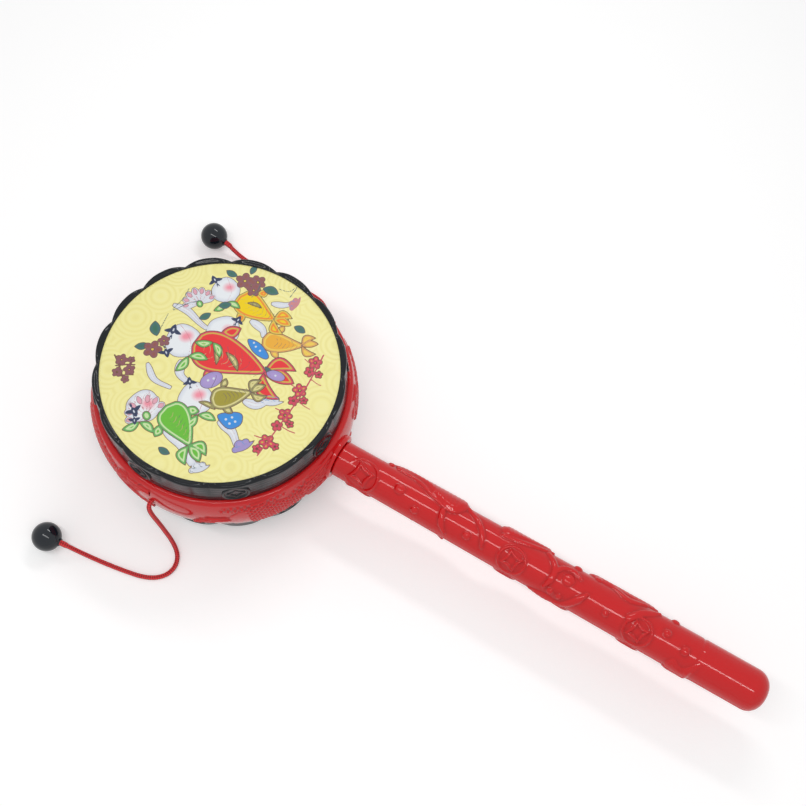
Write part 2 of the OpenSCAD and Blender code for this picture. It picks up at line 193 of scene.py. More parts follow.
# %% [markdown]
# The drum is moulded plastic with a clear gloss. Perfectly smooth plastic looks false, so one shared
# group adds a slight unevenness and a small change of roughness. Relief gets painted shade in its
# hollows, where less light comes in; each carved piece stores that on its points as the value "raised".

# %% Moulded plastic
# The bump's height in metres, and how much the roughness varies.
GRAIN_HEIGHT, ROUGHNESS_SPREAD = 0.0001, 0.08


def build_grain():
    """Fine unevenness of a moulded surface: a bump, and a small change of roughness."""
    tree, inp, out = new_group("grain", [
        ("Size", "INPUT", "NodeSocketFloat", 600.0), ("Depth", "INPUT", "NodeSocketFloat", 0.1),
        ("Roughness", "INPUT", "NodeSocketFloat", 0.2),
        ("Roughness", "OUTPUT", "NodeSocketFloat", None), ("Normal", "OUTPUT", "NodeSocketVector", None)])
    place = tree.nodes.new("ShaderNodeTexCoord")
    noise = tree.nodes.new("ShaderNodeTexNoise")
    noise.inputs["Detail"].default_value = 3.0
    bump = tree.nodes.new("ShaderNodeBump")
    bump.inputs["Distance"].default_value = GRAIN_HEIGHT
    tree.links.new(place.outputs["Object"], noise.inputs["Vector"])
    tree.links.new(inp.outputs["Size"], noise.inputs["Scale"])
    tree.links.new(inp.outputs["Depth"], bump.inputs["Strength"])
    tree.links.new(noise.outputs["Fac"], bump.inputs["Height"])
    spread = math_node(tree, "MULTIPLY_ADD", noise.outputs["Fac"], ROUGHNESS_SPREAD, -ROUGHNESS_SPREAD / 2)
    tree.links.new(math_node(tree, "ADD", inp.outputs["Roughness"], spread), out.inputs["Roughness"])
    tree.links.new(bump.outputs["Normal"], out.inputs["Normal"])
    return tree


GRAIN = build_grain()


def plastic(name, colour, roughness, grain_size, grain_depth, specular, painted_shade_colour=None):
    """Moulded plastic: a base colour with painted shade in the hollows of its relief, with grain and a clear
    gloss.
    """
    mat = bpy.data.materials.new(name)
    mat.use_nodes = True
    tree = mat.node_tree
    shader = tree.nodes["Principled BSDF"]
    shader.inputs["Base Color"].default_value = (*colour, 1)
    shader.inputs["Specular IOR Level"].default_value = specular
    grain = tree.nodes.new("ShaderNodeGroup")
    grain.node_tree = GRAIN
    grain.inputs["Size"].default_value = grain_size
    grain.inputs["Depth"].default_value = grain_depth
    grain.inputs["Roughness"].default_value = roughness
    tree.links.new(grain.outputs["Roughness"], shader.inputs["Roughness"])
    tree.links.new(grain.outputs["Normal"], shader.inputs["Normal"])
    # Painted shade: the colour goes toward the dark shade colour where the value "raised" says little light
    # comes in.
    if painted_shade_colour:
        value = tree.nodes.new("ShaderNodeAttribute")
        value.attribute_name = "raised"
        shade_tint = mix_colour(tree, value.outputs["Fac"], (*painted_shade_colour, 1), (*colour, 1))
        tree.links.new(shade_tint, shader.inputs["Base Color"])
    return mat


# The red's second colour is painted shade for the hollows of its relief.
RED = plastic("red_plastic", (0.62, 0.008, 0.010), roughness=0.11, grain_size=420.0, grain_depth=0.08,
              specular=0.33, painted_shade_colour=(0.30, 0.002, 0.004))
BLACK = plastic("black_plastic", (0.006, 0.008, 0.011), roughness=0.17, grain_size=300.0, grain_depth=0.30,
                specular=0.25)
PELLET = plastic("pellet_plastic", (0.006, 0.010, 0.016), roughness=0.09, grain_size=300.0, grain_depth=0.05,
                 specular=0.38)
print("plastics:", RED.name, BLACK.name, PELLET.name)

# %% [markdown]
# The cords are braided: strands run round them both ways and cross. Each strand could be its own tube,
# but at 1.8 mm thick a shader does it: two slanted sine waves over the length and the turn of the tube
# are multiplied, which gives rows of small diamonds for the bump, with painted shade in the dips between
# them.

# %% Braided cord
# Length of one wave in mm, waves round the cord, and the bump's height in metres.
BRAID_PITCH, STRANDS_ROUND, BRAID_HEIGHT = 1.7, 2.0, 0.00025
# Painted shade for the dips between strands, and the strands' own red.
STRAND_GAP_SHADE, STRAND_LIGHT = (0.30, 0.004, 0.008, 1), (0.86, 0.035, 0.04, 1)


def build_cord_material():
    """Braided cord: two sets of slanted strands over the length and round of the tube, with painted shade
    where they dip.
    """
    mat = bpy.data.materials.new("cord")
    mat.use_nodes = True
    tree = mat.node_tree
    shader = tree.nodes["Principled BSDF"]
    along = tree.nodes.new("ShaderNodeAttribute")
    along.attribute_name = "along"
    around = tree.nodes.new("ShaderNodeAttribute")
    around.attribute_name = "around"
    waves = []
    for sign in (1.0, -1.0):
        turn = math_node(tree, "MULTIPLY", around.outputs["Fac"], STRANDS_ROUND * sign)
        total = math_node(tree, "MULTIPLY_ADD", along.outputs["Fac"], 2 * math.pi / BRAID_PITCH, turn)
        waves.append(math_node(tree, "SINE", total))
    weave = math_node(tree, "MULTIPLY", waves[0], waves[1])
    bump = tree.nodes.new("ShaderNodeBump")
    bump.inputs["Strength"].default_value = 1.0
    bump.inputs["Distance"].default_value = BRAID_HEIGHT
    tree.links.new(weave, bump.inputs["Height"])
    tree.links.new(bump.outputs["Normal"], shader.inputs["Normal"])
    # Painted shade: the colour darkens where the weave dips between the strands.
    share = math_node(tree, "MULTIPLY_ADD", weave, 0.8, 0.62)
    tree.nodes[-1].use_clamp = True
    shade_tint = mix_colour(tree, share, STRAND_GAP_SHADE, STRAND_LIGHT)
    tree.links.new(shade_tint, shader.inputs["Base Color"])
    shader.inputs["Roughness"].default_value = 0.6
    shader.inputs["Sheen Weight"].default_value = 0.1
    return mat


CORD = build_cord_material()
print("cord: a strand crosses every", BRAID_PITCH / 2, "mm")

# %% [markdown]
# Every finished piece gets its material, rides on the body that carries it, and takes the place of its
# CAD nodes.


def finish_piece(piece, material, body, *nodes, slot=None):
    """Gives a piece its material, its body and the CAD nodes that it replaces; slot is not used."""
    piece.data.materials.append(material)
    if body:
        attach(piece, body)
    if nodes:
        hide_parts(*nodes)
    return piece


# %% [markdown]
# A limp cord leaves its hole, drops beside the drum, and lies on the floor as it falls. Cloth or rope
# physics would settle it somewhere else each time, so its route is a list of points in metres: the same
# as in the CAD. A cord has two pieces here: its root, fixed in the hoop, and the free length down to the
# pellet. Its last stretch, at the pellet, is a little thicker.

# %% Routes of the cords
CORD_R = 0.9
# Points on each stretch, points hidden in the pellet, reach of the bend, and length of the root.
STEPS, INSIDE_PELLET, BEND_REACH, ROOT_LENGTH = 10, 15, 1.9, 8.5
END_SWELL, SWELL_LENGTH, SWELL_RAMP = 0.25, 4.5, 1.0
# A direction that no stretch of a cord takes, from which its rings are set up.
NO_CORDS_WAY = [0.6, 0.5, -0.62]
ROUTES = {
    "left": [
        (-0.05, 0.212, 0.0), (-0.0522, 0.212, -0.0002), (-0.0538, 0.2114, -0.0016),
        (-0.0546, 0.21, -0.0048), (-0.055, 0.208, -0.0095), (-0.0556, 0.2056, -0.0145),
        (-0.0566, 0.2026, -0.0195), (-0.0584, 0.1996, -0.023), (-0.061, 0.1974, -0.024),
        (-0.0646, 0.1964, -0.024), (-0.0684, 0.1974, -0.024), (-0.0716, 0.2004, -0.024),
        (-0.0738, 0.205, -0.024), (-0.0752, 0.211, -0.024), (-0.0764, 0.218, -0.024),
        (-0.0774, 0.225, -0.0236), (-0.0784, 0.2316, -0.0214), (-0.0791, 0.2368, -0.0193),
        (-0.0796, 0.2415, -0.0193), (-0.0799, 0.244, -0.0193),
    ],
    "right": [
        (0.05, 0.212, 0.0), (0.0522, 0.212, -0.0002), (0.0538, 0.2114, -0.0016),
        (0.0546, 0.2102, -0.0048), (0.055, 0.2086, -0.0095), (0.0556, 0.2066, -0.0145),
        (0.0568, 0.2044, -0.0195), (0.059, 0.2034, -0.023), (0.062, 0.2044, -0.024),
        (0.0642, 0.2078, -0.024), (0.065, 0.2126, -0.024), (0.065, 0.218, -0.024),
        (0.0648, 0.224, -0.024), (0.0646, 0.23, -0.024), (0.0644, 0.236, -0.024), (0.0643, 0.242, -0.024),
        (0.0644, 0.248, -0.0232), (0.0648, 0.2528, -0.0212), (0.0651, 0.2558, -0.0193),
        (0.0653, 0.2605, -0.0193), (0.0654, 0.263, -0.0193),
    ],
}
# Which points of a route are the hinges.
SWING, BEND = 3, 8

# %% [markdown]
# A cord's surface is swept along its line: rings of points that lie across the line's slope. A curve
# object with a round bevel would do it too, but its points can't carry the two values that the braid
# needs, the length along the cord and the turn round it. Smaller rings round the ends off.

# %% A tube along a line
def tube(name, line, radius, sides=20, thick_end=0.0):
    """Rings across the line's slope: line + radius (cos t first + sin t second), with rounded ends."""
    slope = np.gradient(line, axis=0)
    slope /= np.linalg.norm(slope, axis=1)[:, None]
    first = np.cross(slope, NO_CORDS_WAY)
    first /= np.linalg.norm(first, axis=1)[:, None]
    second = np.cross(slope, first)
    t = np.linspace(0, 2 * np.pi, sides, endpoint=False)
    round_ = np.cos(t)[None, :, None] * first[:, None, :] + np.sin(t)[None, :, None] * second[:, None, :]
    length = np.r_[0, np.cumsum(np.linalg.norm(np.diff(line, axis=0), axis=1))]
    swell = 1 + thick_end * smooth((length - length[-1] + SWELL_LENGTH) / SWELL_RAMP)
    body = line[:, None, :] + radius * swell[:, None, None] * round_
    rows, offsets = [], []
    for a in np.radians((0.0, 40.0)):
        rows.append(line[0] - slope[0] * radius * math.cos(a) + radius * math.sin(a) * round_[0])
        offsets.append(-radius * math.cos(a))
    rows += list(body)
    offsets += list(length)
    for a in np.radians((50.0, 90.0)):
        outward = radius * swell[-1] * math.cos(a) * round_[-1]
        rows.append(line[-1] + slope[-1] * radius * math.sin(a) + outward)
        offsets.append(length[-1] + radius * math.sin(a))
    grid = np.array(rows)
    along = np.repeat(np.array(offsets)[:, None], sides, 1)
    around = np.repeat(t[None, :], len(rows), 0)
    return net(name, grid, along=along, around=around), length[-1]

# %% [markdown]
# Both pieces of a cord are cut from one smooth line, so that they meet at the hinge without a step.

# %% Laying the cords
def lay_cord(side):
    """Both pieces of one side's cord, from its route; gives the route in millimetres back."""
    route = np.array(ROUTES[side]) / MM
    fine = curve(route, STEPS, closed=False)
    hinge = int(np.argmin(np.linalg.norm(fine - route[SWING], axis=1)))
    root, _ = tube(side + "_cord_root", fine[:hinge + 1], CORD_R)
    finish_piece(root, CORD, "drum", side + "_cord_root")
    line = fine[hinge:-INSIDE_PELLET]
    free, free_length = tube(side + "_cord", line, CORD_R, thick_end=END_SWELL)
    finish_piece(free, CORD, None, side + "_cord_upper", side + "_cord_lower")
    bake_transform(free)
    print(f"{side} free cord {free_length:.1f} mm, with its root {free_length + ROOT_LENGTH:.1f} mm")
    return route

# %% [markdown]
# A pellet is a turned ball with a short collar that grips the cord. Turning is the natural way to make
# it: one profile of (distance along the axis, radius) goes round the axis of the cord's last stretch.

# %% Pellets
# Radius, degrees of the ball's outline, and its points; the collar adds (beyond the ball, radius).
PELLET_R, BALL_ARC, BALL_STEPS = 5.7, 158, 44
COLLAR = [(-0.2, 1.7), (0.1, 1.6), (0.3, 1.4), (0.3, 1.25), (-0.6, 1.0), (-0.8, 0.0)]


def lathe_on_axis(name, profile, at, axis, sides=64):
    """A profile of (distance along the axis, radius) turned about an axis through a point."""
    axis = np.asarray(axis, float) / np.linalg.norm(axis)
    first = np.cross(axis, [0, 0, 1.0])
    first /= np.linalg.norm(first)
    second = np.cross(axis, first)
    t = np.linspace(0, 2 * np.pi, sides, endpoint=False)
    ring = np.cos(t)[:, None] * first + np.sin(t)[:, None] * second
    profile = np.asarray(profile, float)
    return net(name, at + profile[:, :1, None] * axis + profile[:, 1:2, None] * ring[None])


def make_pellet(side, centre, out):
    """A ball, (-R cos a, R sin a) up to where the collar goes in; out points along the cord."""
    a = np.radians(np.linspace(0, BALL_ARC, BALL_STEPS))
    ball = np.c_[-PELLET_R * np.cos(a), PELLET_R * np.sin(a)]
    collar = [(PELLET_R + along, radius) for along, radius in COLLAR]
    pellet = lathe_on_axis(side + "_pellet", np.vstack([ball, collar]), centre, out)
    finish_piece(pellet, PELLET, side + "_striker", side + "_pellet")


for side in ("left", "right"):
    way = lay_cord(side)
    out = way[-2] - way[-1]
    make_pellet(side, way[-1], out / np.linalg.norm(out))

# %% [markdown]
# Carving and printing both start from outlines. The distance to an outline, with a minus sign inside,
# says at once how high a relief stands near its edge and where a printed colour stops. Only points near
# the outline's box are worked out, which keeps this quick on dense grids.

# %% Distances to outlines
def segment_distance(points, line, closed):
    """Distance from each point to the nearest segment of a line, and the even-odd test for inside."""
    best = np.full(len(points), 1e9)
    inside = np.zeros(len(points), bool)
    stops = np.roll(line, -1, 0) if closed else line[1:]
    for a, b in zip(line, stops):
        e, w = b - a, points - a
        t = np.clip((w @ e) / max(e @ e, 1e-12), 0, 1)
        best = np.minimum(best, ((w - t[:, None] * e) ** 2).sum(1))
        if closed and a[1] != b[1]:
            over = (a[1] > points[:, 1]) != (b[1] > points[:, 1])
            inside ^= over & (points[:, 0] < e[0] * (points[:, 1] - a[1]) / e[1] + a[0])
    return np.sqrt(best), inside


def near_line(points, line, reach):
    """The points that lie within reach of a line's box, as indices."""
    low, high = line.min(0) - reach, line.max(0) + reach
    return np.flatnonzero(((points > low) & (points < high)).all(1))


def signed(points, outline, reach=4.0):
    """Signed distance to a closed outline, negative inside, and no more than reach."""
    near = near_line(points, outline, reach)
    out = np.full(len(points), reach)
    if len(near):
        d, inside = segment_distance(points[near], outline, True)
        out[near] = np.where(inside, -d, np.minimum(d, reach))
    return out


def stroke(points, line, width, reach=3.0):
    """Distance to an open line, less half its width."""
    line = np.asarray(line, float)
    near = near_line(points, line, reach)
    out = np.full(len(points), reach)
    if len(near):
        out[near] = np.minimum(segment_distance(points[near], line, False)[0] - width / 2, reach)
    return out


square = np.array([(0.0, 0.0), (2.0, 0.0), (2.0, 2.0), (0.0, 2.0)])
here = np.array([(1.0, 1.0), (3.0, 1.0)])
print("distance to a square, from its middle and from outside:", signed(here, square))

# %% [markdown]
# Leaves, round things and fish come back in both the carving and the print. Each is a formula with a
# length, a width and a bend, so that a new one costs a line, not a drawing.

# %% Leaves and fish
def turned(points, at, angle):
    """Points turned by an angle in degrees, (x cos a - y sin a, x sin a + y cos a), and moved."""
    c, s = math.cos(math.radians(angle)), math.sin(math.radians(angle))
    return np.asarray(points, float) @ np.array([[c, s], [-s, c]]) + at


def oval(at, rx, ry, angle=0, n=28):
    """An ellipse: (rx cos t, ry sin t), turned and moved."""
    t = np.linspace(0, 2 * np.pi, n, endpoint=False)
    return turned(np.c_[rx * np.cos(t), ry * np.sin(t)], at, angle)


def leaf(at, length, width, angle, bend=0.0, n=12):
    """Two arcs from the stalk to the tip, with half width sin(pi t) shaped to a point, on a bent midrib."""
    t = np.linspace(0, 1, n)
    half = width / 2 * np.sin(np.pi * t) ** 0.8
    mid = bend * length * t * (1 - t) * 2
    left, right = np.c_[length * t, mid + half], np.c_[length * t, mid - half]
    return turned(np.vstack([left, right[::-1][1:-1]]), at, angle)


def petal(at, length, width, angle):
    """A petal: eight points, narrow at the foot and round at the tip, joined by a smooth curve."""
    shape = [(0, 0), (0.3, 0.3), (0.65, 0.5), (0.92, 0.3), (1, 0), (0.92, -0.3), (0.65, -0.5), (0.3, -0.3)]
    return curve(turned(np.array(shape) * [length, width], at, angle), 4)


HEAD_POINTS = 6


def fish_parts(at, length, width, angle, bend):
    """A fish from above: half width sin(pi t^0.62)^0.75 on a bent spine, two fins, and a forked tail."""
    t = np.linspace(0, 1, 22)
    half = width / 2 * np.sin(np.pi * t ** 0.62) ** 0.75 * (1 - 0.25 * t) + 0.04 * width
    spine = np.c_[length * t, bend * length * (t ** 2)]
    slope = np.gradient(spine, axis=0)
    side = np.c_[-slope[:, 1], slope[:, 0]] / np.linalg.norm(slope, axis=1)[:, None]
    left, right = spine + side * half[:, None], spine - side * half[:, None]
    end, way = spine[-1], math.degrees(math.atan2(slope[-1, 1], slope[-1, 0]))
    tail = [leaf(end - 0.3, 0.42 * length, 0.34 * width, way + turn, turn / 60) for turn in (32, -32, 8)]
    shoulder, out = spine[HEAD_POINTS], side[HEAD_POINTS] * half[HEAD_POINTS]
    fins = [leaf(shoulder + out * k, 0.26 * length, 0.3 * width, way + k * 42, -0.2 * k) for k in (1, -1)]
    head = np.vstack([left[:HEAD_POINTS], right[:HEAD_POINTS][::-1]])
    place = lambda p: turned(p, at, angle)
    return {"body": place(np.vstack([left, right[::-1]])), "head": place(head), "spine": place(spine),
            "tail": [place(p) for p in tail], "fins": [place(p) for p in fins]}


trial = fish_parts((0, 0), 30, 12, 0, 0.1)
print("points: leaf", len(leaf((0, 0), 10, 4, 0)), "and fish", len(trial["body"]))

# %% [markdown]
# A carver works the ground and the shapes with a few repeated cuts: round scales, straight ribs and a
# rough net. Each is a function of place, from 0 in the cut to 1 on top. The value "raised" compares a
# height with the average round it, and gives painted shade that darkens the colour in the hollows.

# %% Carved patterns
def scales(p, size):
    """Overlapping round scales: in each of two shifted lattices, a dome round the nearest centre."""
    best = np.zeros(len(p))
    for dx, dy in ((0, 0), (0.5, 0.5)):
        q = p / size + [dx, dy]
        d = np.linalg.norm((q - np.round(q)) * [1.0, 1.15], axis=1)
        best = np.maximum(best, 1 - (d / 0.56) ** 2)
    return np.clip(best, 0, 1) ** 1.1


def hatch(p, angle, step):
    """Parallel ridges: 0.5 + 0.5 cos(2 pi x / step), x being the distance along the angle."""
    a = math.radians(angle)
    return 0.5 + 0.5 * np.cos(2 * np.pi * (p[:, 0] * math.cos(a) + p[:, 1] * math.sin(a)) / step)


def fine_net(p, step):
    """Small raised grains: two hatchings, slanted 35 degrees either way, multiplied."""
    a, b = hatch(p, 35, step), hatch(p, -35, step)
    return a * b


# Share of light on open ground, where the painted shade is faintest.
OPEN_GROUND = 0.95


def hollows(height, rows, cols, gain=2.6):
    """Share of light that reaches a point, for painted shade: its height against the average over a window
    of the grid.
    """
    padded = np.pad(height, ((rows, rows), (cols, cols)), mode="edge")
    total = np.pad(padded.cumsum(0).cumsum(1), ((1, 0), (1, 0)))
    r, c = 2 * rows + 1, 2 * cols + 1
    mean = (total[r:, c:] - total[:-r, c:] - total[r:, :-c] + total[:-r, :-c]) / (r * c)
    return np.clip(OPEN_GROUND + gain * (height - mean), 0, 1)


here = np.array([(1.0, 0.5)])
print("heights at one place:", [round(float(f), 3) for f in (scales(here, 2.5)[0], hatch(here, 0, 2)[0])])

# %% [markdown]
# The hoop's band carries fish among leaves, waves, dots and patches of rough ground. They could be
# modelled one by one and joined on, but then their edges would have to be welded. As heights over
# (arc length, height on the band) they simply take the larger value where they meet.

# %% Relief of the hoop
# Softness of edges, the highest relief, and the steps of the patterns and of the wave.
EDGE, ROUGH_EDGE, RELIEF_TOP = 0.5, 1.5, 0.95
SCALE_SIZE, FIN_STEP, LEAF_STEP, NET_STEP = 2.5, 1.9, 2.0, 2.1
WAVE_HIGH, WAVE_LONG = 1.3, 6


def dome(distance, radius):
    """A round bead over a distance: sqrt(1 - (d / r)^2)."""
    return np.sqrt(np.clip(1 - (distance / radius) ** 2, 0, 1))


def raised_fish(p, at, length, width, angle, bend):
    """A rounded body with scales behind its head, and ribbed fins and tail."""
    parts = fish_parts(at, length, width, angle, bend)
    d = signed(p, parts["body"])
    bulk = 0.35 * np.sqrt(np.clip(-d / (width / 2), 0, 1)) + 0.25 * (d < 0)
    behind_head = (signed(p, parts["head"]) > 0) * (d < -0.3)
    texture = 0.95 * (scales(turned(p - at, (0, 0), -angle), SCALE_SIZE) - 0.62) * behind_head
    height = (bulk + texture) * smooth(0.5 - d / EDGE)
    ribs = 0.12 + 0.75 * hatch(p, angle + 90, FIN_STEP)
    for fin in parts["tail"] + parts["fins"]:
        height = np.maximum(height, ribs * smooth(0.5 - signed(p, fin) / EDGE))
    return height


def raised_leaf(p, at, length, width, angle, bend):
    """A leaf with slanted veins."""
    veins = 0.12 + 0.7 * hatch(p, angle + 70, LEAF_STEP)
    return veins * smooth(0.5 - signed(p, leaf(at, length, width, angle, bend)) / EDGE)


def raised_wave(p, at, length, width):
    """A wavy bead: the line y = high sin(2 pi x / long)."""
    x = np.linspace(0, length, 40)
    f = stroke(p, np.c_[x, WAVE_HIGH * np.sin(2 * np.pi * x / WAVE_LONG)] + at, 0.0)
    return 0.55 * dome(f, width)


def raised_rough(p, at, length, width, angle):
    """An oval patch of rough ground that fades out."""
    f = signed(p, oval(at, length / 2, width / 2, angle))
    return 0.85 * fine_net(p, NET_STEP) * smooth(0.5 - f / ROUGH_EDGE)


def raised_dot(p, at, radius):
    """A round dot: a bead over the distance from its middle."""
    return 0.6 * dome(np.linalg.norm(p - at, axis=1), radius)


RAISED = {"fish": raised_fish, "leaf": raised_leaf, "wave": raised_wave, "rough": raised_rough,
          "dot": raised_dot}


def hoop_relief(p, shapes):
    """Height in mm over points (arc length, height on the band): the largest of all the shapes."""
    height = np.zeros(len(p))
    for kind, *place in shapes:
        height = np.maximum(height, RAISED[kind](p, *place))
    return np.minimum(height, RELIEF_TOP)


print("kinds of relief:", sorted(RAISED))

# %% [markdown]
# The hoop is two half rings that meet at the cords' holes. Its outside is a crowned band with rounded
# edges, so it catches one broad light. A turned ring would have no relief, and a displaced one no sharp
# edges, so the radius is worked out point by point: crown, edge, relief, seam and a sunk hole.

# %% Hoop halves
# Half the width, the crown's radius, its drop at the edge, the edge's round, and the inside radius.
HALF_W, CROWN_R, CROWN_DROP, EDGE_R, RIM_IN = 12.0, 51.0, 1.8, 1.2, 45.3
# Rows are steps in degrees; the relief keeps clear of the holes and of the rims.
ROW_STEP, SEAM_STEP, COLUMNS = 0.375, 0.02, 113
CLEAR_OF_HOLE, CLEAR_OF_RIM, FADE = 5, 0.9, 1.2
SEAM_DEPTH, SEAM_HALF, HOLE_DEPTH, HOLE_R = 0.02, 0.5, 0.5, 1.1


def end_caps(grid, raised):
    """The grid and its values with each end closed by a fan to the middle of its last row."""
    caps = [np.repeat(end.mean(1, keepdims=True), grid.shape[1], 1) for end in (grid[:1], grid[-1:])]
    return np.vstack([caps[0], grid, caps[1]]), np.vstack([raised[:1], raised, raised[-1:]])


def band_half(name, first_angle, shapes, lift):
    """A half ring of radius R - drop (z / half width)^2, less an edge round, plus the relief."""
    rows = int(180 / ROW_STEP) - 1
    turn = np.r_[0, SEAM_STEP, np.linspace(ROW_STEP, 180 - ROW_STEP, rows), 180 - SEAM_STEP, 180]
    angles = np.radians(first_angle + turn)
    z = HALF_W * np.sin(np.radians(np.linspace(-90, 90, COLUMNS)))
    arc = (angles - angles[0]) * CROWN_R
    crown = CROWN_R + lift - CROWN_DROP * (z / HALF_W) ** 2
    over = np.clip(np.abs(z) - (HALF_W - EDGE_R), 0, EDGE_R)
    crown = crown - (EDGE_R - np.sqrt(np.maximum(EDGE_R**2 - over**2, 0)))
    gs, gz = np.meshgrid(arc, z, indexing="ij")
    height = hoop_relief(np.c_[gs.ravel(), gz.ravel()], shapes).reshape(gs.shape)
    near_hole = np.minimum(np.hypot(gs, gz), np.hypot(gs - arc[-1], gz))
    height *= smooth((near_hole - CLEAR_OF_HOLE) / 3) * smooth((HALF_W - CLEAR_OF_RIM - np.abs(gz)) / FADE)
    from_seam = np.clip(np.minimum(gs, arc[-1] - gs) / SEAM_HALF, 0, 1)
    dip = SEAM_DEPTH * (1 - np.sqrt(np.clip(1 - (1 - from_seam) ** 2, 0, 1)))
    hole = HOLE_DEPTH * (1 - smooth((near_hole - HOLE_R) / 0.9))
    inner = np.full((len(arc), 5), RIM_IN)
    radius = np.hstack([crown[None, :] + height - dip - hole, inner])
    zz = np.r_[z, np.linspace(HALF_W, -HALF_W, 5)]
    grid = np.stack([radius * np.cos(angles)[:, None], radius * np.sin(angles)[:, None],
                     np.repeat(zz[None, :], len(arc), 0)], -1) + CENTRE
    # The value "raised" is painted shade: the red darkens in the hollows of the relief.
    grid, raised = end_caps(grid, np.hstack([hollows(height, 3, 3), np.ones(inner.shape)]))
    print(f"{name}: relief up to {height.max():.2f} mm")
    return net(name, grid, raised=raised)

# %% [markdown]
# The photograph shows only a narrow strip of the band. Its fish, leaves and dots stand at their places,
# and the rest of the way round repeats forms of that size. The two halves are one function with other
# lists; the lower one stands out by a hair, so that their joint can be seen as on a real moulding.

# %% What is carved on the hoop
# Each entry: kind, place (arc length from the seam, height), length, width, turn in degrees, bend.
# A patch of rough ground has no bend, a wave has no turn either, and a dot has only its radius.
LOWER = [
    ("fish", (30.0, -3.5), 36, 19, 6, 0.04), ("leaf", (58, 1), 22, 7, 26, 0.2),
    ("leaf", (60, 0), 20, 7, -24, -0.2), ("leaf", (16, -7), 18, 5, 22, 0.3),
    ("rough", (66, 5), 26, 9, 0), ("rough", (40, 8.5), 26, 5, 4), ("dot", (79, -6), 1.6),
    ("fish", (132, 0.5), 25, 12, 177, -0.06), ("leaf", (112, 1), 15, 5, 160, 0.2),
    ("leaf", (112, 0), 15, 5, 200, -0.2), ("leaf", (133, -5), 13, 5, 20, 0.3),
    ("leaf", (136, 5), 12, 5, -14, 0.3), ("wave", (96, 5), 12, 1.2),
    ("dot", (92, -5.5), 1.6),
]
UPPER = [
    ("fish", (54, 0), 26, 13, 176, 0.08), ("leaf", (33, 1), 15, 5, 160, 0.2),
    ("leaf", (33, 0), 15, 5, 200, -0.2), ("fish", (105, 0), 46, 20, 2, 0.05),
    ("leaf", (142, 2), 16, 7, 24, 0.2), ("leaf", (142, -1), 16, 7, -24, -0.2),
    ("leaf", (72, 4), 14, 6, 10, 0.2), ("wave", (74, -5), 14, 1.2), ("dot", (92, 5), 1.6),
]
upper = band_half("hoop_upper", 0, UPPER, 0.0)
lower = band_half("hoop_lower", 180, LOWER, 0.03)
finish_piece(upper, RED, "drum", "hoop_upper_half")
finish_piece(lower, RED, "drum", "hoop_lower_half")

# %% [markdown]
# Where the handle goes in, the band has a low collar. It is turned about the handle's axis, and its
# foot lies inside the band, so that no seam shows.

# %% Boss of the hoop
def ring_about_y(name, profile, sides=96):
    """A closed profile of (distance from the drum's centre, radius) turned about the handle's axis."""
    t = np.linspace(0, 2 * np.pi, sides, endpoint=False)
    p = np.asarray(profile, float)
    grid = np.stack([p[:, 1:2] * np.cos(t), CENTRE[1] - p[:, :1] + 0 * t[None], p[:, 1:2] * np.sin(t)], -1)
    return net(name, grid, wrap_rows=True, raised=np.ones(grid.shape[:2]))


BOSS = [(49.0, 9.2), (51.2, 9.1), (51.7, 8.9), (51.95, 8.5), (51.95, 6.7), (49.0, 6.7)]
boss = ring_about_y("hoop_boss", BOSS)
finish_piece(boss, RED, "drum", slot="red_plastic")

# %% [markdown]
# A rim is one glossy ring with sixteen lobes. It could be cut from a turned ring, as in the CAD; here
# the section itself changes along the way, so the light runs smoothly from lobe to lobe. The crest
# follows an arc over each lobe, while the lip under it, that clamps the head, keeps its height.

# %% Rims
# R is a distance from the drum's axis, Z and the like one from its middle plane; LOBE_STEP is in degrees.
RIM_R, LIP_Z, HEAD_Z, CREST, CUT = 47.4, 24.3, 23.8, 25.25, 25.0
LOBE_STEP, LOBE_R = 22.5, 22.4
RIM_TOP_R, LIP_R, BORE_R = 46.4, 44.5, 45.4
RIM_FOOT, WALL_FROM, WALL_HEIGHT, WALL_POWER = 12.02, 12.3, 11.5, 1.3
SHOULDER_R, SHOULDER_H, LIP_ROUND, BLEND = 0.75, 1.1, 0.2, 9
BEAD_HEIGHT, BEAD_HALF = 0.42, 0.75


def crest_height(off):
    """The arc z = crest - (R - sqrt(R2 - s2)) over each lobe, softly cut off at the top."""
    s = RIM_R * np.radians(off)
    arc = CREST - (LOBE_R - np.sqrt(LOBE_R**2 - s**2))
    return np.minimum(-np.logaddexp(-arc * BLEND, -CUT * BLEND) / BLEND, CUT)


def streaks(k, angles):
    """The slight waviness of a polished moulding: two slanted sine waves over height and angle."""
    coarse = 0.022 * np.sin(37 * k + 1.5 * np.sin(4 * angles))
    return coarse + 0.012 * np.sin(83 * k + 2 * np.sin(7 * angles))


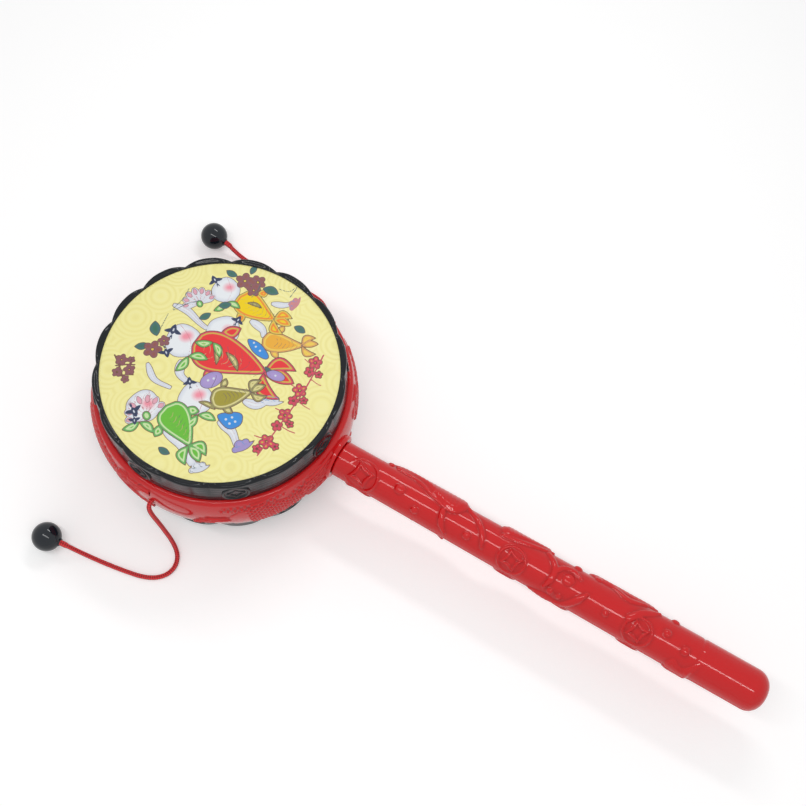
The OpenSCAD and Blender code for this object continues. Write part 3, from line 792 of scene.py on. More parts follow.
def rim(name, coin_at, sign):
    """A ring with a closed section: foot, wall r = R + (top - R) k^1.3, shoulder, brim, lip and bore."""
    n = 1024
    angles = np.radians(np.arange(n) * 360 / n)
    off = (np.degrees(angles) - coin_at + LOBE_STEP / 2) % LOBE_STEP - LOBE_STEP / 2
    top = crest_height(off)
    bulge = 1 - (np.abs(off) / (LOBE_STEP / 2)) ** 2
    wall = RIM_TOP_R - 0.2 + 0.9 * bulge
    notch = RIM_R * np.radians(LOBE_STEP / 2 - np.abs(off))
    bead = BEAD_HEIGHT * np.exp(-((notch / BEAD_HALF) ** 2))
    rows = []
    add = lambda r, z: rows.append((r + 0 * off, z + 0 * off))
    add(RIM_R - 0.1, RIM_FOOT)
    for k in np.linspace(0.0, 1, 30):
        out = RIM_R + (wall - RIM_R) * k**WALL_POWER + streaks(k, angles)
        add(out, WALL_FROM + k * (top - SHOULDER_H - WALL_FROM))
    for a in np.radians(np.linspace(10, 90, 9)):
        add(wall - SHOULDER_R * (1 - np.cos(a)), top - SHOULDER_H + SHOULDER_H * np.sin(a))
    crest_r, lip_from = wall - SHOULDER_R, LIP_R + LIP_ROUND
    for k in np.linspace(0.15, 1, 7):
        over = bead * np.exp(-(((k - 0.5) / 0.35) ** 2))
        add(crest_r + (lip_from - crest_r) * k, top + (LIP_Z - top) * smooth(k) + over)
    for a in np.radians((30, 60, 90)):
        add(lip_from - LIP_ROUND * np.sin(a), LIP_Z - 0.25 * (1 - np.cos(a)))
    for r, z in ((LIP_R, HEAD_Z), (BORE_R, HEAD_Z), (BORE_R, RIM_FOOT)):
        add(r, z)
    r, z = (np.array([row[k] for row in rows]) for k in (0, 1))
    grid = np.stack([r * np.cos(angles), r * np.sin(angles), sign * z], -1) + CENTRE
    finish_piece(net(name, grid, wrap_rows=True), BLACK, "drum", name)


print(f"lobes: 16, {CUT - crest_height(LOBE_STEP / 2):.2f} mm deep")

# %% [markdown]
# Eight cash coins stand out of each rim: a raised ring, and in it a raised square frame round a square
# hole. A coin is a small polar grid on the rim's wall, so its edge is round however few points it has.
# All eight are joined, because they are one moulding.

# %% Coins of the rims
COIN_Z, COIN_R, COINS, COIN_SIDES = 18.5, 5.25, 8, 96
RING_FROM, FRAME_OUT, FRAME_IN, HOLE_HALF, SOFT = 4.0, 2.55, 1.45, 1.4, 0.3
COIN_RADII = np.r_[np.linspace(0, 5.05, 29), 5.2, 5.25, 5.25, 5.25, 0.0]
COIN_EDGE = np.array([0.45, 0.2, -0.4, -1.0, -1.0])


def coin_grid(angle, sign):
    """Its height is the larger of ring and frame; the frame's distance is (|x| + |y|) / sqrt 2."""
    t = np.arange(COIN_SIDES) * 2 * np.pi / COIN_SIDES
    rho = COIN_RADII[:, None]
    u, v = rho * np.cos(t), rho * np.sin(t)
    side = (np.abs(u) + np.abs(v)) / math.sqrt(2)
    frame_part = smooth((FRAME_OUT - side) / SOFT) * smooth((side - FRAME_IN) / SOFT)
    ring_part = smooth((rho - RING_FROM) / SOFT) * smooth((COIN_R - rho) / 0.25)
    face = 0.12 + 0.5 * np.maximum(frame_part, ring_part) - 0.15 * smooth((HOLE_HALF - side) / SOFT)
    face[-len(COIN_EDGE):] = COIN_EDGE[:, None]
    height_share = np.clip((COIN_Z + v - WALL_FROM) / WALL_HEIGHT, 0, 1)
    lean = (RIM_TOP_R + 0.1 - RIM_R) * height_share ** WALL_POWER
    out, across, z = face + RIM_R + lean, u, COIN_Z + v
    ca, sa = math.cos(angle), math.sin(angle)
    return np.stack([out * ca - across * sa, out * sa + across * ca, sign * z], -1) + CENTRE


def rim_coins(name, coin_at, sign):
    """All coins of one rim, evenly spaced, joined to one piece."""
    turns = [math.radians(coin_at + 360 / COINS * k) for k in range(COINS)]
    made = [net(f"{name}_{k}", coin_grid(turn, sign)) for k, turn in enumerate(turns)]
    bpy.ops.object.select_all(action="DESELECT")
    for piece in made:
        piece.select_set(True)
    bpy.context.view_layer.objects.active = made[0]
    bpy.ops.object.join()
    made[0].name = name
    finish_piece(made[0], BLACK, "drum", slot="black_plastic")


for name, coin_at, sign in (("front_rim", 39.375, 1), ("back_rim", 16.25, -1)):
    rim(name, coin_at, sign)
    rim_coins(name + "_coins", coin_at, sign)

# %% [markdown]
# The handle's relief doesn't repeat: three coins, dots, curling vines and long leaves at set places.
# Each place was found by sending the fitted camera's ray on to the rod. A sculpted mesh could look
# alike; lists of outlines over (distance, arc length) stay exact and can be moved by a millimetre.

# %% Relief of the handle
COIN_PLACES = [(63.3, 7.1), (127.8, 5.8), (179.6, 5.8)]
COIN_TURN, COIN_POWER = -29, 0.68
COIN_HEIGHT, VINE_HEIGHT, DOT_HEIGHT = 0.65, 0.85, 0.9


def cash_coin(p, at, radius):
    """Height of a coin: a ring, and in it a frame with four hollow sides, |x|^k + |y|^k, k under 1."""
    q = turned(p - at, (0, 0), COIN_TURN)
    d = np.linalg.norm(q, axis=1)
    side = (np.abs(q) ** COIN_POWER).sum(1) ** (1 / COIN_POWER) / radius
    ring = smooth((d - radius + 1.1) / 0.35) * smooth((radius - d) / 0.35)
    frame_part = smooth((0.92 - side) / 0.1) * smooth((side - 0.52) / 0.1)
    return COIN_HEIGHT * np.maximum(ring, frame_part)


# Places are (distance from the drum's centre, arc length from the line of the coins), all in mm.
# Dots: place, radius. Vines: line, half width. Leaves: outline, height, turn of their ribs.
HANDLE_DOTS = [
    ((78.8, 3.0), 2.1), ((87.2, -1.6), 1.5), ((108.9, -0.1), 1.6), ((149.4, 4.3), 2.3),
    ((145.3, -3.0), 1.4), ((149.1, -3.2), 1.2), ((166.6, 0.3), 1.2), ((189.2, 5.0), 1.5),
    ((197.5, 2.5), 1.6), ((151.0, 12.4), 1.7), ((159.5, 12.6), 1.9), ((71.0, 13.4), 1.5),
    ((191.0, 12.6), 1.6),
]
HANDLE_VINES = [
    ([(96.8, 3.8), (97.6, 0.8), (99.0, -1.8), (101.0, -3.8)], 1.2),
    ([(103.8, 11.6), (106.8, 9.4), (110.3, 7.1), (113.8, 3.4), (115.8, -1.4)], 1.05),
    ([(139.0, 10.6), (142.0, 7.4), (143.6, 4.4), (143.4, 0.6), (142.3, -2.6)], 1.2),
    ([(143.6, 4.4), (146.0, 7.6), (150.0, 8.4), (153.6, 6.6)], 1.0),
    ([(147.6, -7.6), (151.6, -5.8), (154.8, -1.6), (157.6, 2.9)], 1.4),
    ([(174.8, 3.0), (178.2, 6.9), (184.4, 11.1)], 1.4),
    ([(166.0, 12.0), (172.0, 9.6), (179.0, 12.0)], 1.2),
    ([(121.0, 7.4), (127.5, 8.6), (134.0, 10.4), (140.5, 12.8)], 1.0),
    ([(74.0, 12.2), (82.0, 11.0), (90.0, 7.6), (98.6, 4.8)], 0.9),
]
HANDLE_LEAVES = [
    ([(71, 15.5), (78, 12.6), (85, 10.4), (91, 7.0), (99.5, 4.6), (104, 8.5), (104.5, 13.5), (99, 18.5),
      (85, 19.0)], 1.75, 12),
    ([(119, 11.2), (121.5, 7.4), (128, 8.8), (134, 10.4), (140, 13.0), (138, 17.0), (128, 18.5),
      (121, 16.0)], 1.35, 14),
    ([(155.5, 14.5), (160, 11.6), (166, 11.2), (172, 12.6), (178, 12.2), (184, 14.2), (176, 18.0),
      (162, 18.0)], 1.2, 16),
    ([(136, -8.4), (140, -6.2), (145, -5.2), (150, -6.6), (153, -8.4), (146, -10.4),
      (140, -10.0)], 1.1, 160),
    ([(193.5, -5.0), (195.6, -1.9), (199.6, -3.4), (204.4, 1.4), (205.0, -3.0), (203.5, -8.0),
      (199, -10.5), (195, -9.0)], 0.8, 60),
]


def handle_relief(p):
    """Height over the points p: the largest of the coins, the leaves, the tapering vines and the dots."""
    height = np.zeros(len(p))
    for s, radius in COIN_PLACES:
        coin = cash_coin(p, np.array([s, 0.0]), radius)
        height = np.maximum(height, coin * smooth((p[:, 1] + 7.4) / 2.2))
    for outline, top, turn in HANDLE_LEAVES:
        f = signed(p, curve(np.array(outline, float), 6))
        rounded = (0.45 + 0.55 * smooth(-f / 2.2)) * smooth(0.5 - f / 0.6)
        height = np.maximum(height, top * rounded * (0.94 + 0.06 * hatch(p, turn, 1.7)))
    for line, width in HANDLE_VINES:
        f = stroke(p, curve(np.array(line, float), 8, closed=False), 0.0)
        to_tip = np.linalg.norm(p - np.array(line[-1]), axis=1)
        height = np.maximum(height, VINE_HEIGHT * dome(f, width * np.clip(0.4 + to_tip / 6.0, 0, 1)))
    for at, radius in HANDLE_DOTS:
        height = np.maximum(height, DOT_HEIGHT * dome(np.linalg.norm(p - at, axis=1), radius))
    return height


print("handle:", len(HANDLE_LEAVES), "leaves,", len(HANDLE_VINES), "vines,", len(HANDLE_DOTS), "dots")

# %% [markdown]
# The handle is two half shells, closed on the middle plane, and their joint shows as a fine groove. Each
# half is a grid over (distance, angle): the radius grows along the rod, swells with the relief, and
# rounds off at the tip. The back isn't seen here, and carries the same relief turned over.

# %% Handle
# Distances from the drum's centre, radii, and the angle and scale of the line of the coins.
ROOT, TIP, RING_IN, ROUND_FROM = 52.0, 231.0, 204.0, 225.0
R_ROOT, R_END, TIP_ROUND = 7.1, 8.1, 6
MIDDLE, ARC_R = -33.0, 7.6
GROOVE_DEPTH, SPLIT_DEPTH = 0.25, 0.22


def rod_profile():
    """Distances along the rod and the radius at each: a straight taper, a groove, and a rounded tip."""
    s = np.r_[ROOT, ROOT + 0.12, ROOT + 0.4, np.linspace(ROOT + 0.8, ROUND_FROM, 540)]
    end_turn = np.radians(np.linspace(8, 90, 12))
    s_all = np.r_[s, ROUND_FROM + (TIP - ROUND_FROM) * np.sin(end_turn)]
    base = R_ROOT + (R_END - R_ROOT) * np.clip((s_all - ROOT) / (RING_IN - ROOT), 0, 1)
    base[:3] -= [0.4, 0.15, 0.02]
    base[len(s):] = R_END - TIP_ROUND * (1 - np.cos(end_turn))
    groove = GROOVE_DEPTH * np.exp(-((s_all - RING_IN + 0.8) / 0.5) ** 2)
    return s_all, base - groove


def handle_half(name, sign):
    """A half round rod: its radius is the profile's, plus the relief, less the groove of the joint."""
    s_all, base = rod_profile()
    gs, gp = np.meshgrid(s_all, np.linspace(-90, 90, 97), indexing="ij")
    arc = np.radians(gp - MIDDLE) * ARC_R
    height = handle_relief(np.c_[gs.ravel(), arc.ravel()]).reshape(gs.shape)
    height *= smooth((gs - 57) / 3) * smooth((205 - gs) / 3)
    split = SPLIT_DEPTH * np.exp(-((90 - np.abs(gp)) / 2.2) ** 2)
    r = base[:, None] + height - split
    x, z = r * np.sin(np.radians(gp)), r * np.cos(np.radians(gp))
    back = np.linspace(1, -1, 6)[1:-1]
    x = np.hstack([x, x[:, -1:] * back])
    z = np.hstack([z, z[:, -1:] + 0 * back])
    grid = np.stack([x, CENTRE[1] - np.repeat(s_all[:, None], x.shape[1], 1), sign * z], -1)
    # The value "raised" is painted shade: the red darkens in the hollows of the relief.
    raised = np.hstack([hollows(height, 4, 5, 1.3), np.ones((len(s_all), len(back)))])
    grid, raised = end_caps(grid, raised)
    finish_piece(net(name, grid, raised=raised), RED, "drum", name + "_half")


handle_half("handle_front", 1)
handle_half("handle_back", -1)
neck = ring_about_y("handle_neck", [(48.5, 6.4), (52.3, 6.4), (52.3, 3.0), (48.5, 3.0)])
finish_piece(neck, RED, "drum", slot="red_plastic")

# %% [markdown]
# The heads carry a print. An image could be wrapped on, but it would be soft when seen close. Instead
# every colour is a layer of signed distance, stored on the head's own points, and the shader cuts it
# sharp. Shapes of one colour melt together where they meet, as the smallest distance counts.

# %% Layers of the print
PICTURE_TURN = math.radians(-60.3)
U_AXIS = np.array([math.cos(PICTURE_TURN), math.sin(PICTURE_TURN)])
V_AXIS = np.array([-U_AXIS[1], U_AXIS[0]])
# A distance that is past every border.
FAR = 9.0


class Picture:
    """Collects outlines and strokes by colour layer, in millimetres across and up the head."""

    def __init__(self, points):
        """Starts without layers, over points (across, up)."""
        self.points = points
        self.layers = {}

    def keep_least(self, layer, d):
        """A layer's value is the least distance so far."""
        self.layers[layer] = np.minimum(self.layers.get(layer, FAR + 0 * d), d)

    def fill(self, layer, *outlines):
        """Adds closed outlines."""
        for outline in outlines:
            self.keep_least(layer, signed(self.points, np.asarray(outline, float)))

    def line(self, layer, points, width, smooth_line=True):
        """Adds a line of a width, drawn smooth or straight from point to point."""
        points = np.array(points, float)
        points = curve(points, 6, closed=False) if smooth_line else points
        self.keep_least(layer, stroke(self.points, points, width))


print("the print's x axis:", np.round(U_AXIS, 3))

# %% [markdown]
# What the print shows is drawn from a few kinds of shape, each a short function. A fish and a lotus
# come first. Their thin lines have a layer of their own, which lies on top of the fills as the
# black plate does in colour printing.

# %% Fish and lotus
def spot(at, angle, x, y=0.0):
    """The place x along and y across from another, in axes turned by an angle."""
    return turned([[x, y]], at, angle)[0]


def draw_fish(pic, at, length, width, angle, bend, colour):
    """A fish with lines for its scales and fins."""
    parts = fish_parts(at, length, width, angle, bend)
    ends = parts["tail"] + parts["fins"]
    pic.fill(colour, parts["body"], *ends)
    for outline in ends:
        pic.line("ink", [outline[0], outline[len(outline) // 4], outline[len(outline) // 2]], 0.16)
    spine = parts["spine"]
    for k in range(7, len(spine) - 2, 2):
        way = spine[k + 1] - spine[k]
        side = np.array([-way[1], way[0]]) / np.linalg.norm(way) * width * 0.22
        pic.line("ink", [spine[k] + side, spine[k] + way * 1.3, spine[k] - side], 0.16)


def draw_lotus(pic, at, size, angle):
    """A lotus flower: seven petals in a fan, each with a pink heart, and a green seed head."""
    for turn in np.linspace(-78, 78, 7):
        share = 1 - 0.12 * abs(turn) / 78
        outline = petal(at, size * share, size * 0.42, angle + turn)
        tip = at + spot((0, 0), angle + turn, size * 0.96) * share
        foot = spot(at, angle + turn, size * 0.55)
        pic.fill("white", outline)
        pic.fill("pink", leaf(foot, float(np.linalg.norm(tip - foot)), size * 0.2, angle + turn))
        pic.line("rose", outline, 0.16, False)
    pic.fill("green", oval(at, size * 0.2, size * 0.16, angle))


trial = Picture(np.zeros((1, 2)))
draw_fish(trial, (0, 0), 20, 10, 0, 0.1, "red")
draw_lotus(trial, np.zeros(2), 6, 90)
print("a fish and a lotus use", sorted(trial.layers))

# %% [markdown]
# Fruit, blossom and clouds are ovals, petals and spirals. A few of them in different sizes and turns
# look like a rich pattern, and none of them needs to be drawn by hand.

# %% Peaches, blossom and clouds
PEACH = [(0, -1), (0.75, -0.72), (1, 0.05), (0.62, 0.75), (0.1, 1.05), (-0.5, 0.85), (-1, 0.1),
         (-0.78, -0.7)]
CREASE = [(0, -1), (0.35, -0.3), (0.3, 0.4), (0.1, 1.05)]


def draw_peach(pic, at, size, angle):
    """A peach: white to pink, a crease and two leaves."""
    pic.fill("white", curve(turned(np.array(PEACH) * size, at, angle), 5))
    pic.fill("blush", oval(spot(at, angle, 0.25 * size, 0.2 * size), 0.36 * size, 0.3 * size, angle))
    pic.line("rose", turned(np.array(CREASE) * size, at, angle), 0.2)
    for turn in (-30, -145):
        pic.fill("green", leaf(spot(at, angle, 0, -size), size * 1.1, size * 0.5, angle + turn, 0.2))


def draw_blossom(pic, at, size, angle, layer="red"):
    """A plum blossom: five ovals, 72 degrees apart, round a small yellow one."""
    for k in range(5):
        way = angle + 72 * k
        a = math.radians(way)
        middle = (at[0] + 0.62 * size * math.cos(a), at[1] + 0.62 * size * math.sin(a))
        pic.fill(layer, oval(middle, 0.46 * size, 0.4 * size, way, 14))
    pic.fill("yellow", oval(at, 0.2 * size, 0.2 * size, 0, 10))


def draw_cloud(pic, at, size, angle, layer, second):
    """A curled cloud: three round heads and a tail, and a spiral in each head."""
    t = np.linspace(0, 1.6 * np.pi, 12)
    for x, y, r in ((-1.0, 0, 0.62), (0, 0.35, 0.85), (1.0, 0, 0.7)):
        pic.fill(layer, oval(spot(at, angle, x * size, y * size), r * size, r * size * 0.85, angle))
        rr = r * size * (0.75 - 0.38 * t / t[-1])
        curl = np.c_[x * size + rr * np.cos(t), y * size + rr * np.sin(t)]
        pic.line(second, turned(curl, at, angle), 0.24, False)
    tail = spot(at, angle, -1.4 * size, -0.25 * size)
    pic.fill(layer, leaf(tail, 3.8 * size, 0.8 * size, angle - 6, -0.1))


trial = Picture(np.zeros((1, 2)))
draw_peach(trial, (0, 0), 6, 0)
print("a peach uses", sorted(trial.layers))

# %% [markdown]
# Scarves wind between the fish, swallows sit among them, and short rows of gold strokes stand for
# pleats. A scarf's width swells along its line, so that it looks like cloth that turns. Leaves carry
# a midrib, and a twig is one bowed stroke.

# %% Scarves, swallows and twigs
SCARF_SCALE = 1.15


def draw_scarf(pic, points, width):
    """A scarf with two folds; half its width is w (0.42 + 0.58 sin(pi t)^0.7 + 0.16 sin 7t) / 2."""
    line = curve(np.array(points, float), 8, closed=False)
    way = np.gradient(line, axis=0)
    way /= np.linalg.norm(way, axis=1)[:, None]
    side = np.c_[-way[:, 1], way[:, 0]]
    t = np.linspace(0, 1, len(line))
    swell = 0.42 + 0.58 * np.sin(np.pi * t) ** 0.7 + 0.16 * np.sin(7 * t)
    half = 0.5 * (width * SCARF_SCALE) * swell[:, None]
    pic.fill("white", np.vstack([line + side * half, (line - side * half)[::-1]]))
    pic.line("rose", (line + 0.3 * side * half)[1:-2], 0.13, False)
    pic.line("rose", (line - 0.35 * side * half)[3:-3], 0.1, False)


def draw_swallow(pic, at, size, angle):
    """A small dark swallow: a body, two long wings and a forked tail, with a pale belly."""
    pic.fill("night", leaf(np.array(at, float), size, size * 0.5, angle, 0.06))
    for turn, bend in ((118, 0.25), (-118, -0.25)):
        pic.fill("night", leaf(spot(at, angle, 0.62 * size), size * 0.85, size * 0.36, angle + turn, bend))
    for turn in (168, -168):
        pic.fill("night", leaf(spot(at, angle, 0.1 * size), size * 0.6, size * 0.1, angle + turn))
    pic.fill("white_line", leaf(spot(at, angle, 0.25 * size), size * 0.4, size * 0.14, angle))


def draw_pleats(pic, start, end, count, length, lean):
    """Short curved strokes in a row: their feet are evenly spaced from start to end."""
    start, end = np.array(start, float), np.array(end, float)
    way = (end - start) / np.linalg.norm(end - start)
    side = turned([way], (0, 0), lean)[0]
    for share in np.linspace(0, 1, count):
        foot = start + share * (end - start)
        pic.line("gold_line", [foot, foot + side * length * 0.5 + way * 0.4, foot + side * length], 0.22)


def draw_green_leaf(pic, at, length, width, angle):
    """A dark green leaf with a midrib, which is a leaf of almost no width."""
    pic.fill("dark_green", leaf(at, length, width, angle, 0.1))
    pic.line("ink", leaf(at, length, 0.02, angle, 0.1)[:12], 0.14, False)


def draw_twig(pic, layer, width, bow, a, b):
    """A twig from a to b: a smooth line whose middle is shifted by the bow."""
    middle = ((a[0] + b[0]) / 2 + bow[0], (a[1] + b[1]) / 2 + bow[1])
    pic.line(layer, [a, middle, b], width)


def draw_patch(pic, layer, points):
    """A patch of one colour: a smooth curve through its points."""
    pic.fill(layer, curve(np.array(points), 5))


trial = Picture(np.zeros((1, 2)))
draw_swallow(trial, (0, 0), 4, 60)
print("a swallow uses", sorted(trial.layers))

# %% [markdown]
# The picture itself is tables of places in millimetres, chosen so that colours, sizes and density match
# the real print. They are numbers on purpose: to move a fish is to change two of them.

# %% Places on the picture
# Scarves: line, width. Fish: place, length, width, turn, bend, colour.
SCARVES = [
    ([(-19.5, 26), (-14, 23.5), (-9.0, 18.5), (-6.0, 16.0)], 2.5),
    ([(-14.5, 3), (-14.8, -2.5), (-11.8, -6.0)], 3.0),
    ([(-27.0, 1.5), (-24.0, -5.0), (-17.5, -8.5)], 2.1), ([(1.0, 29.0), (6.5, 27.0), (11, 29.5)], 2.6),
    ([(-19.0, -24.0), (-12.5, -29.5), (-7.5, -38.0)], 4.2),
    ([(0.5, -21.0), (5.5, -25.0), (8.0, -31.0)], 3.2),
    ([(9.0, -13.0), (14.5, -14.5), (19.0, -12.0)], 3.0),
    ([(17.5, 27.5), (22.5, 27.0), (27.5, 28.5)], 2.2), ([(10.0, 20.0), (14.5, 16.5), (15.5, 13.0)], 2.8),
    ([(12.0, 1.0), (18.0, -1.5)], 2.8), ([(-20.0, -19.5), (-13.5, -20.5), (-8.0, -16.5)], 2.6),
]
FISH = [
    ((-11.0, 9.0), 29, 16.5, -14, -0.12, "red"), ((5.0, 30.5), 17, 11.0, -44, 0.16, "yellow"),
    ((15, 12.5), 15, 8.5, -20, 0.2, "orange"), ((-3.0, -12.5), 15, 8.8, 2, 0.18, "olive"),
    ((-19, -15.5), 18, 12.0, -50, -0.12, "green"),
]
# Place, size, turn, and a cloud's two colours.
LOTUS = [((-9.5, 26.5), 7.5, 112), ((-25.5, -19.5), 9.0, 118)]
PEACHES = [
    ((-14.5, 10.8), 6.8, 20), ((0.2, 15.4), 6.2, -35), ((0.0, 32.8), 5.4, 5), ((-8.4, -12.6), 6.4, 12),
    ((-27.0, -15.8), 6.2, -8),
]
CLOUDS = [
    ((18.6, -12.6), 2.2, 12, "white", "blue_line"), ((9.0, -30.5), 2.2, 40, "violet", "blue_line"),
    ((26.0, 27.5), 1.8, 70, "rose", "blue_line"), ((-6.0, -39.0), 2.0, 30, "white", "dark_line"),
]
SWALLOWS = [
    ((-19.0, 13.2), 4.6, 75), ((-21.0, 7.4), 4.0, -70), ((-3.6, 35.6), 4.0, 120),
    ((-31.2, -16.2), 4.4, -60), ((-30.0, -20.0), 3.2, -80), ((-10.6, -7.4), 3.6, 100),
    ((4.6, 18.6), 3.6, 60),
]
BLOSSOMS = [
    ((35.0, 3.2), 2.5, 10), ((33.0, -0.6), 2.0, 50), ((36.4, -1.6), 1.5, 12), ((29.6, -8.2), 2.6, 30),
    ((27.4, -12.4), 2.0, 0), ((31.2, -12.2), 1.5, 15), ((24.6, -18.2), 2.6, 60), ((21.8, -22.4), 2.0, 20),
    ((26.4, -21.6), 1.5, 33), ((18.4, -28.6), 2.7, 45), ((15.0, -31.4), 1.7, 5), ((21.4, -30.4), 1.5, 40),
    ((7.0, 37.0), 3.4, 10, "brown"), ((12.0, 36.6), 3.0, 40, "brown"), ((10.5, 33.0), 2.6, 15, "brown"),
    ((-25.6, 7.0), 3.4, 0, "brown"), ((-21.6, 10.6), 2.2, 30, "brown"), ((-36.6, 2.6), 2.3, 0, "brown"),
    ((-33.4, -1.4), 2.1, 30, "brown"), ((-37.8, -2.4), 1.9, 12, "brown"),
    ((-34.6, -5.2), 1.5, 50, "brown"), ((-33.0, 2.6), 1.4, 50, "brown"),
]
# Pleats: start, end, number, length, lean. Leaves: place, length, width, turn.
PLEATS = [
    ((-7.0, 10.5), (7.0, 4.5), 7, 3.6, -62), ((-8.0, 4.5), (3.0, 0.5), 5, 2.6, 48),
    ((-16.0, -18.0), (-9.6, -26.0), 6, 2.6, -60), ((6.0, 29.0), (12.0, 22.6), 5, 2.4, 55),
]
OLIVE_LEAVES = [
    ((1.6, 6.4), 9.0, 2.4, -58), ((-3.0, 8.6), 7.6, 2.0, -80), ((-13.4, -20.6), 6.4, 1.8, -80),
    ((-7.2, -13.8), 7.0, 2.0, -25), ((8.4, 27.4), 6.0, 1.6, -20),
]
GREEN_LEAVES = [
    ((14, 34), 6.5, 3.8, -20), ((4, 39), 5, 2.8, 150), ((-24.5, 12.5), 6.5, 4.0, 100),
    ((2.5, 26.8), 5.0, 3.0, 190), ((-27, 9), 5.5, 3, 190), ((26.5, 18), 5, 3, -30),
    ((-5.0, 22.6), 5.0, 2.8, 210), ((9, 40), 4.6, 2.4, 60), ((-16, -34), 5, 2.6, 150),
    ((16.5, 1.0), 4.5, 2.0, -60),
]
# White dots: place, radius. Stalks and the branch are lines.
WHITE_DOTS = [
    ((3.2, -20.4), 0.5), ((5.4, -19.6), 0.5), ((6.6, -21.2), 0.5), ((4.6, -22.0), 0.5),
    ((12.6, 9.0), 0.45), ((14.2, 7.4), 0.45), ((11.8, 10.6), 0.45), ((-4.2, -5.2), 0.5),
    ((-2.2, -4.4), 0.5), ((20.4, -2.6), 0.45),
]
STALKS = [
    [(-14, 33), (-16.0, 28.5), (-19.5, 24)], [(-9, 28), (-14, 26.5), (-19, 23.6)], [(-21, 22), (-24, 14)],
    [(10, 30), (12, 33), (13, 36)], [(20, 34), (24, 33), (27, 35), (24.5, 30.5)],
]
BRANCH = [(38.0, 6.5), (34.5, -1.5), (30.0, -10.5), (23.5, -21.0), (15.2, -34.0)]
# A twig: layer, width and bow, then from where to where.
RED_TWIG, BROWN_TWIG = ("red_line", 0.42, (0.5, -0.6)), ("brown", 0.4, (0.4, 0.3))
TWIGS = [
    (*RED_TWIG, (33.5, -3.5), (37.4, -6.0)), (*RED_TWIG, (29, -12.5), (33.6, -15.6)),
    (*RED_TWIG, (22.5, -22), (28.4, -25.0)), (*RED_TWIG, (26, -17), (21.0, -15.6)),
    (*RED_TWIG, (31, -8), (25.6, -5.6)), (*RED_TWIG, (19.4, -27), (13.8, -26.4)),
    (*RED_TWIG, (35.5, 1.0), (31.0, 4.6)), (*BROWN_TWIG, (-39.4, 4.6), (-35.0, -6.6)),
    (*BROWN_TWIG, (-38.6, 0.2), (-31.6, 0.6)), (*BROWN_TWIG, (-37.0, -4.0), (-31.8, -3.4)),
]
PATCHES = [
    ("blue", [(9.5, 12.0), (14.0, 10.5), (17.5, 5.5), (16.0, 4.0), (11.5, 7.0)]),
    ("blue", [(0.0, -19.0), (5.5, -17.5), (9.0, -18.5), (8.5, -22.5), (4.0, -24.0)]),
]
VIOLET_OVALS = [((-3.0, -5.0), 4.4, 3.0, 30), ((20.5, -2.6), 3.6, 2.0, -20)]


def printed_picture(pic):
    """Draws every entry of every table; each layer keeps its least distance."""
    tables = [(draw_scarf, SCARVES), (draw_fish, FISH), (draw_lotus, LOTUS), (draw_peach, PEACHES),
              (draw_cloud, CLOUDS), (draw_swallow, SWALLOWS), (draw_blossom, BLOSSOMS),
              (draw_pleats, PLEATS), (draw_green_leaf, GREEN_LEAVES), (draw_twig, TWIGS),
              (draw_patch, PATCHES)]
    for draw, entries in tables:
        for entry in entries:
            draw(pic, *entry)
    pic.fill("violet", *(oval(*entry) for entry in VIOLET_OVALS))
    pic.fill("olive", *(leaf(*entry, 0.2) for entry in OLIVE_LEAVES))
    pic.fill("white_line", *(oval(at, size, size, 0, 8) for at, size in WHITE_DOTS))
    for line in STALKS:
        pic.line("dark_line", line, 0.35)
    pic.line("red_line", BRANCH, 0.55)


print("picture:", len(FISH), "fish,", len(BLOSSOMS), "blossoms,", len(SWALLOWS), "swallows")

# %% [markdown]
# The paper under the print is yellow with fine rings like ripples on water. Drawn rings would repeat;
# cells round scattered points give rings at uneven places. A sine wave of the distance to the nearest
# point makes them, and a soft noise lets them come and go.

# %% Ripples of the paper
PAPER, RING, PALE_RING = (0.88, 0.82, 0.33, 1), (0.74, 0.66, 0.28, 1), (0.91, 0.87, 0.46, 1)
RING_CELLS, RING_WAVES, SOFT_PATCHES = 78.0, 52.0, 60.0


def build_ripples():
    """Overlapping rings on the paper: the distance to the nearest of many scattered points, as waves."""
    tree, inp, out = new_group("ripples", [
        ("Paper", "INPUT", "NodeSocketColor", PAPER), ("Ring", "INPUT", "NodeSocketColor", RING),
        ("Color", "OUTPUT", "NodeSocketColor", None)])
    place = tree.nodes.new("ShaderNodeTexCoord")
    flat = tree.nodes.new("ShaderNodeMapping")
    flat.inputs["Scale"].default_value = (1.0, 1.0, 0.0)
    cells = tree.nodes.new("ShaderNodeTexVoronoi")
    cells.inputs["Scale"].default_value = RING_CELLS
    cells.inputs["Randomness"].default_value = 0.75
    tree.links.new(place.outputs["Object"], flat.inputs["Vector"])
    tree.links.new(flat.outputs["Vector"], cells.inputs["Vector"])
    wave = math_node(tree, "SINE", math_node(tree, "MULTIPLY", cells.outputs["Distance"], RING_WAVES))
    pale = math_node(tree, "POWER", math_node(tree, "MULTIPLY_ADD", wave, 0.5, 0.5), 2.0)
    dark = math_node(tree, "POWER", math_node(tree, "MULTIPLY_ADD", wave, -0.5, 0.5), 4.0)
    soft = tree.nodes.new("ShaderNodeTexNoise")
    soft.inputs["Scale"].default_value = SOFT_PATCHES
    tree.links.new(place.outputs["Object"], soft.inputs["Vector"])
    share = math_node(tree, "MULTIPLY_ADD", soft.outputs["Fac"], 0.6, 0.1)
    lit = mix_colour(tree, math_node(tree, "MULTIPLY", pale, share), inp.outputs["Paper"], PALE_RING)
    amount = math_node(tree, "MULTIPLY", math_node(tree, "MULTIPLY", dark, share), 0.7)
    tree.links.new(mix_colour(tree, amount, lit, inp.outputs["Ring"]), out.inputs["Color"])
    return tree


RIPPLES = build_ripples()
print("rings: about", round(1000 / RING_CELLS, 1), "mm from one centre to the next")

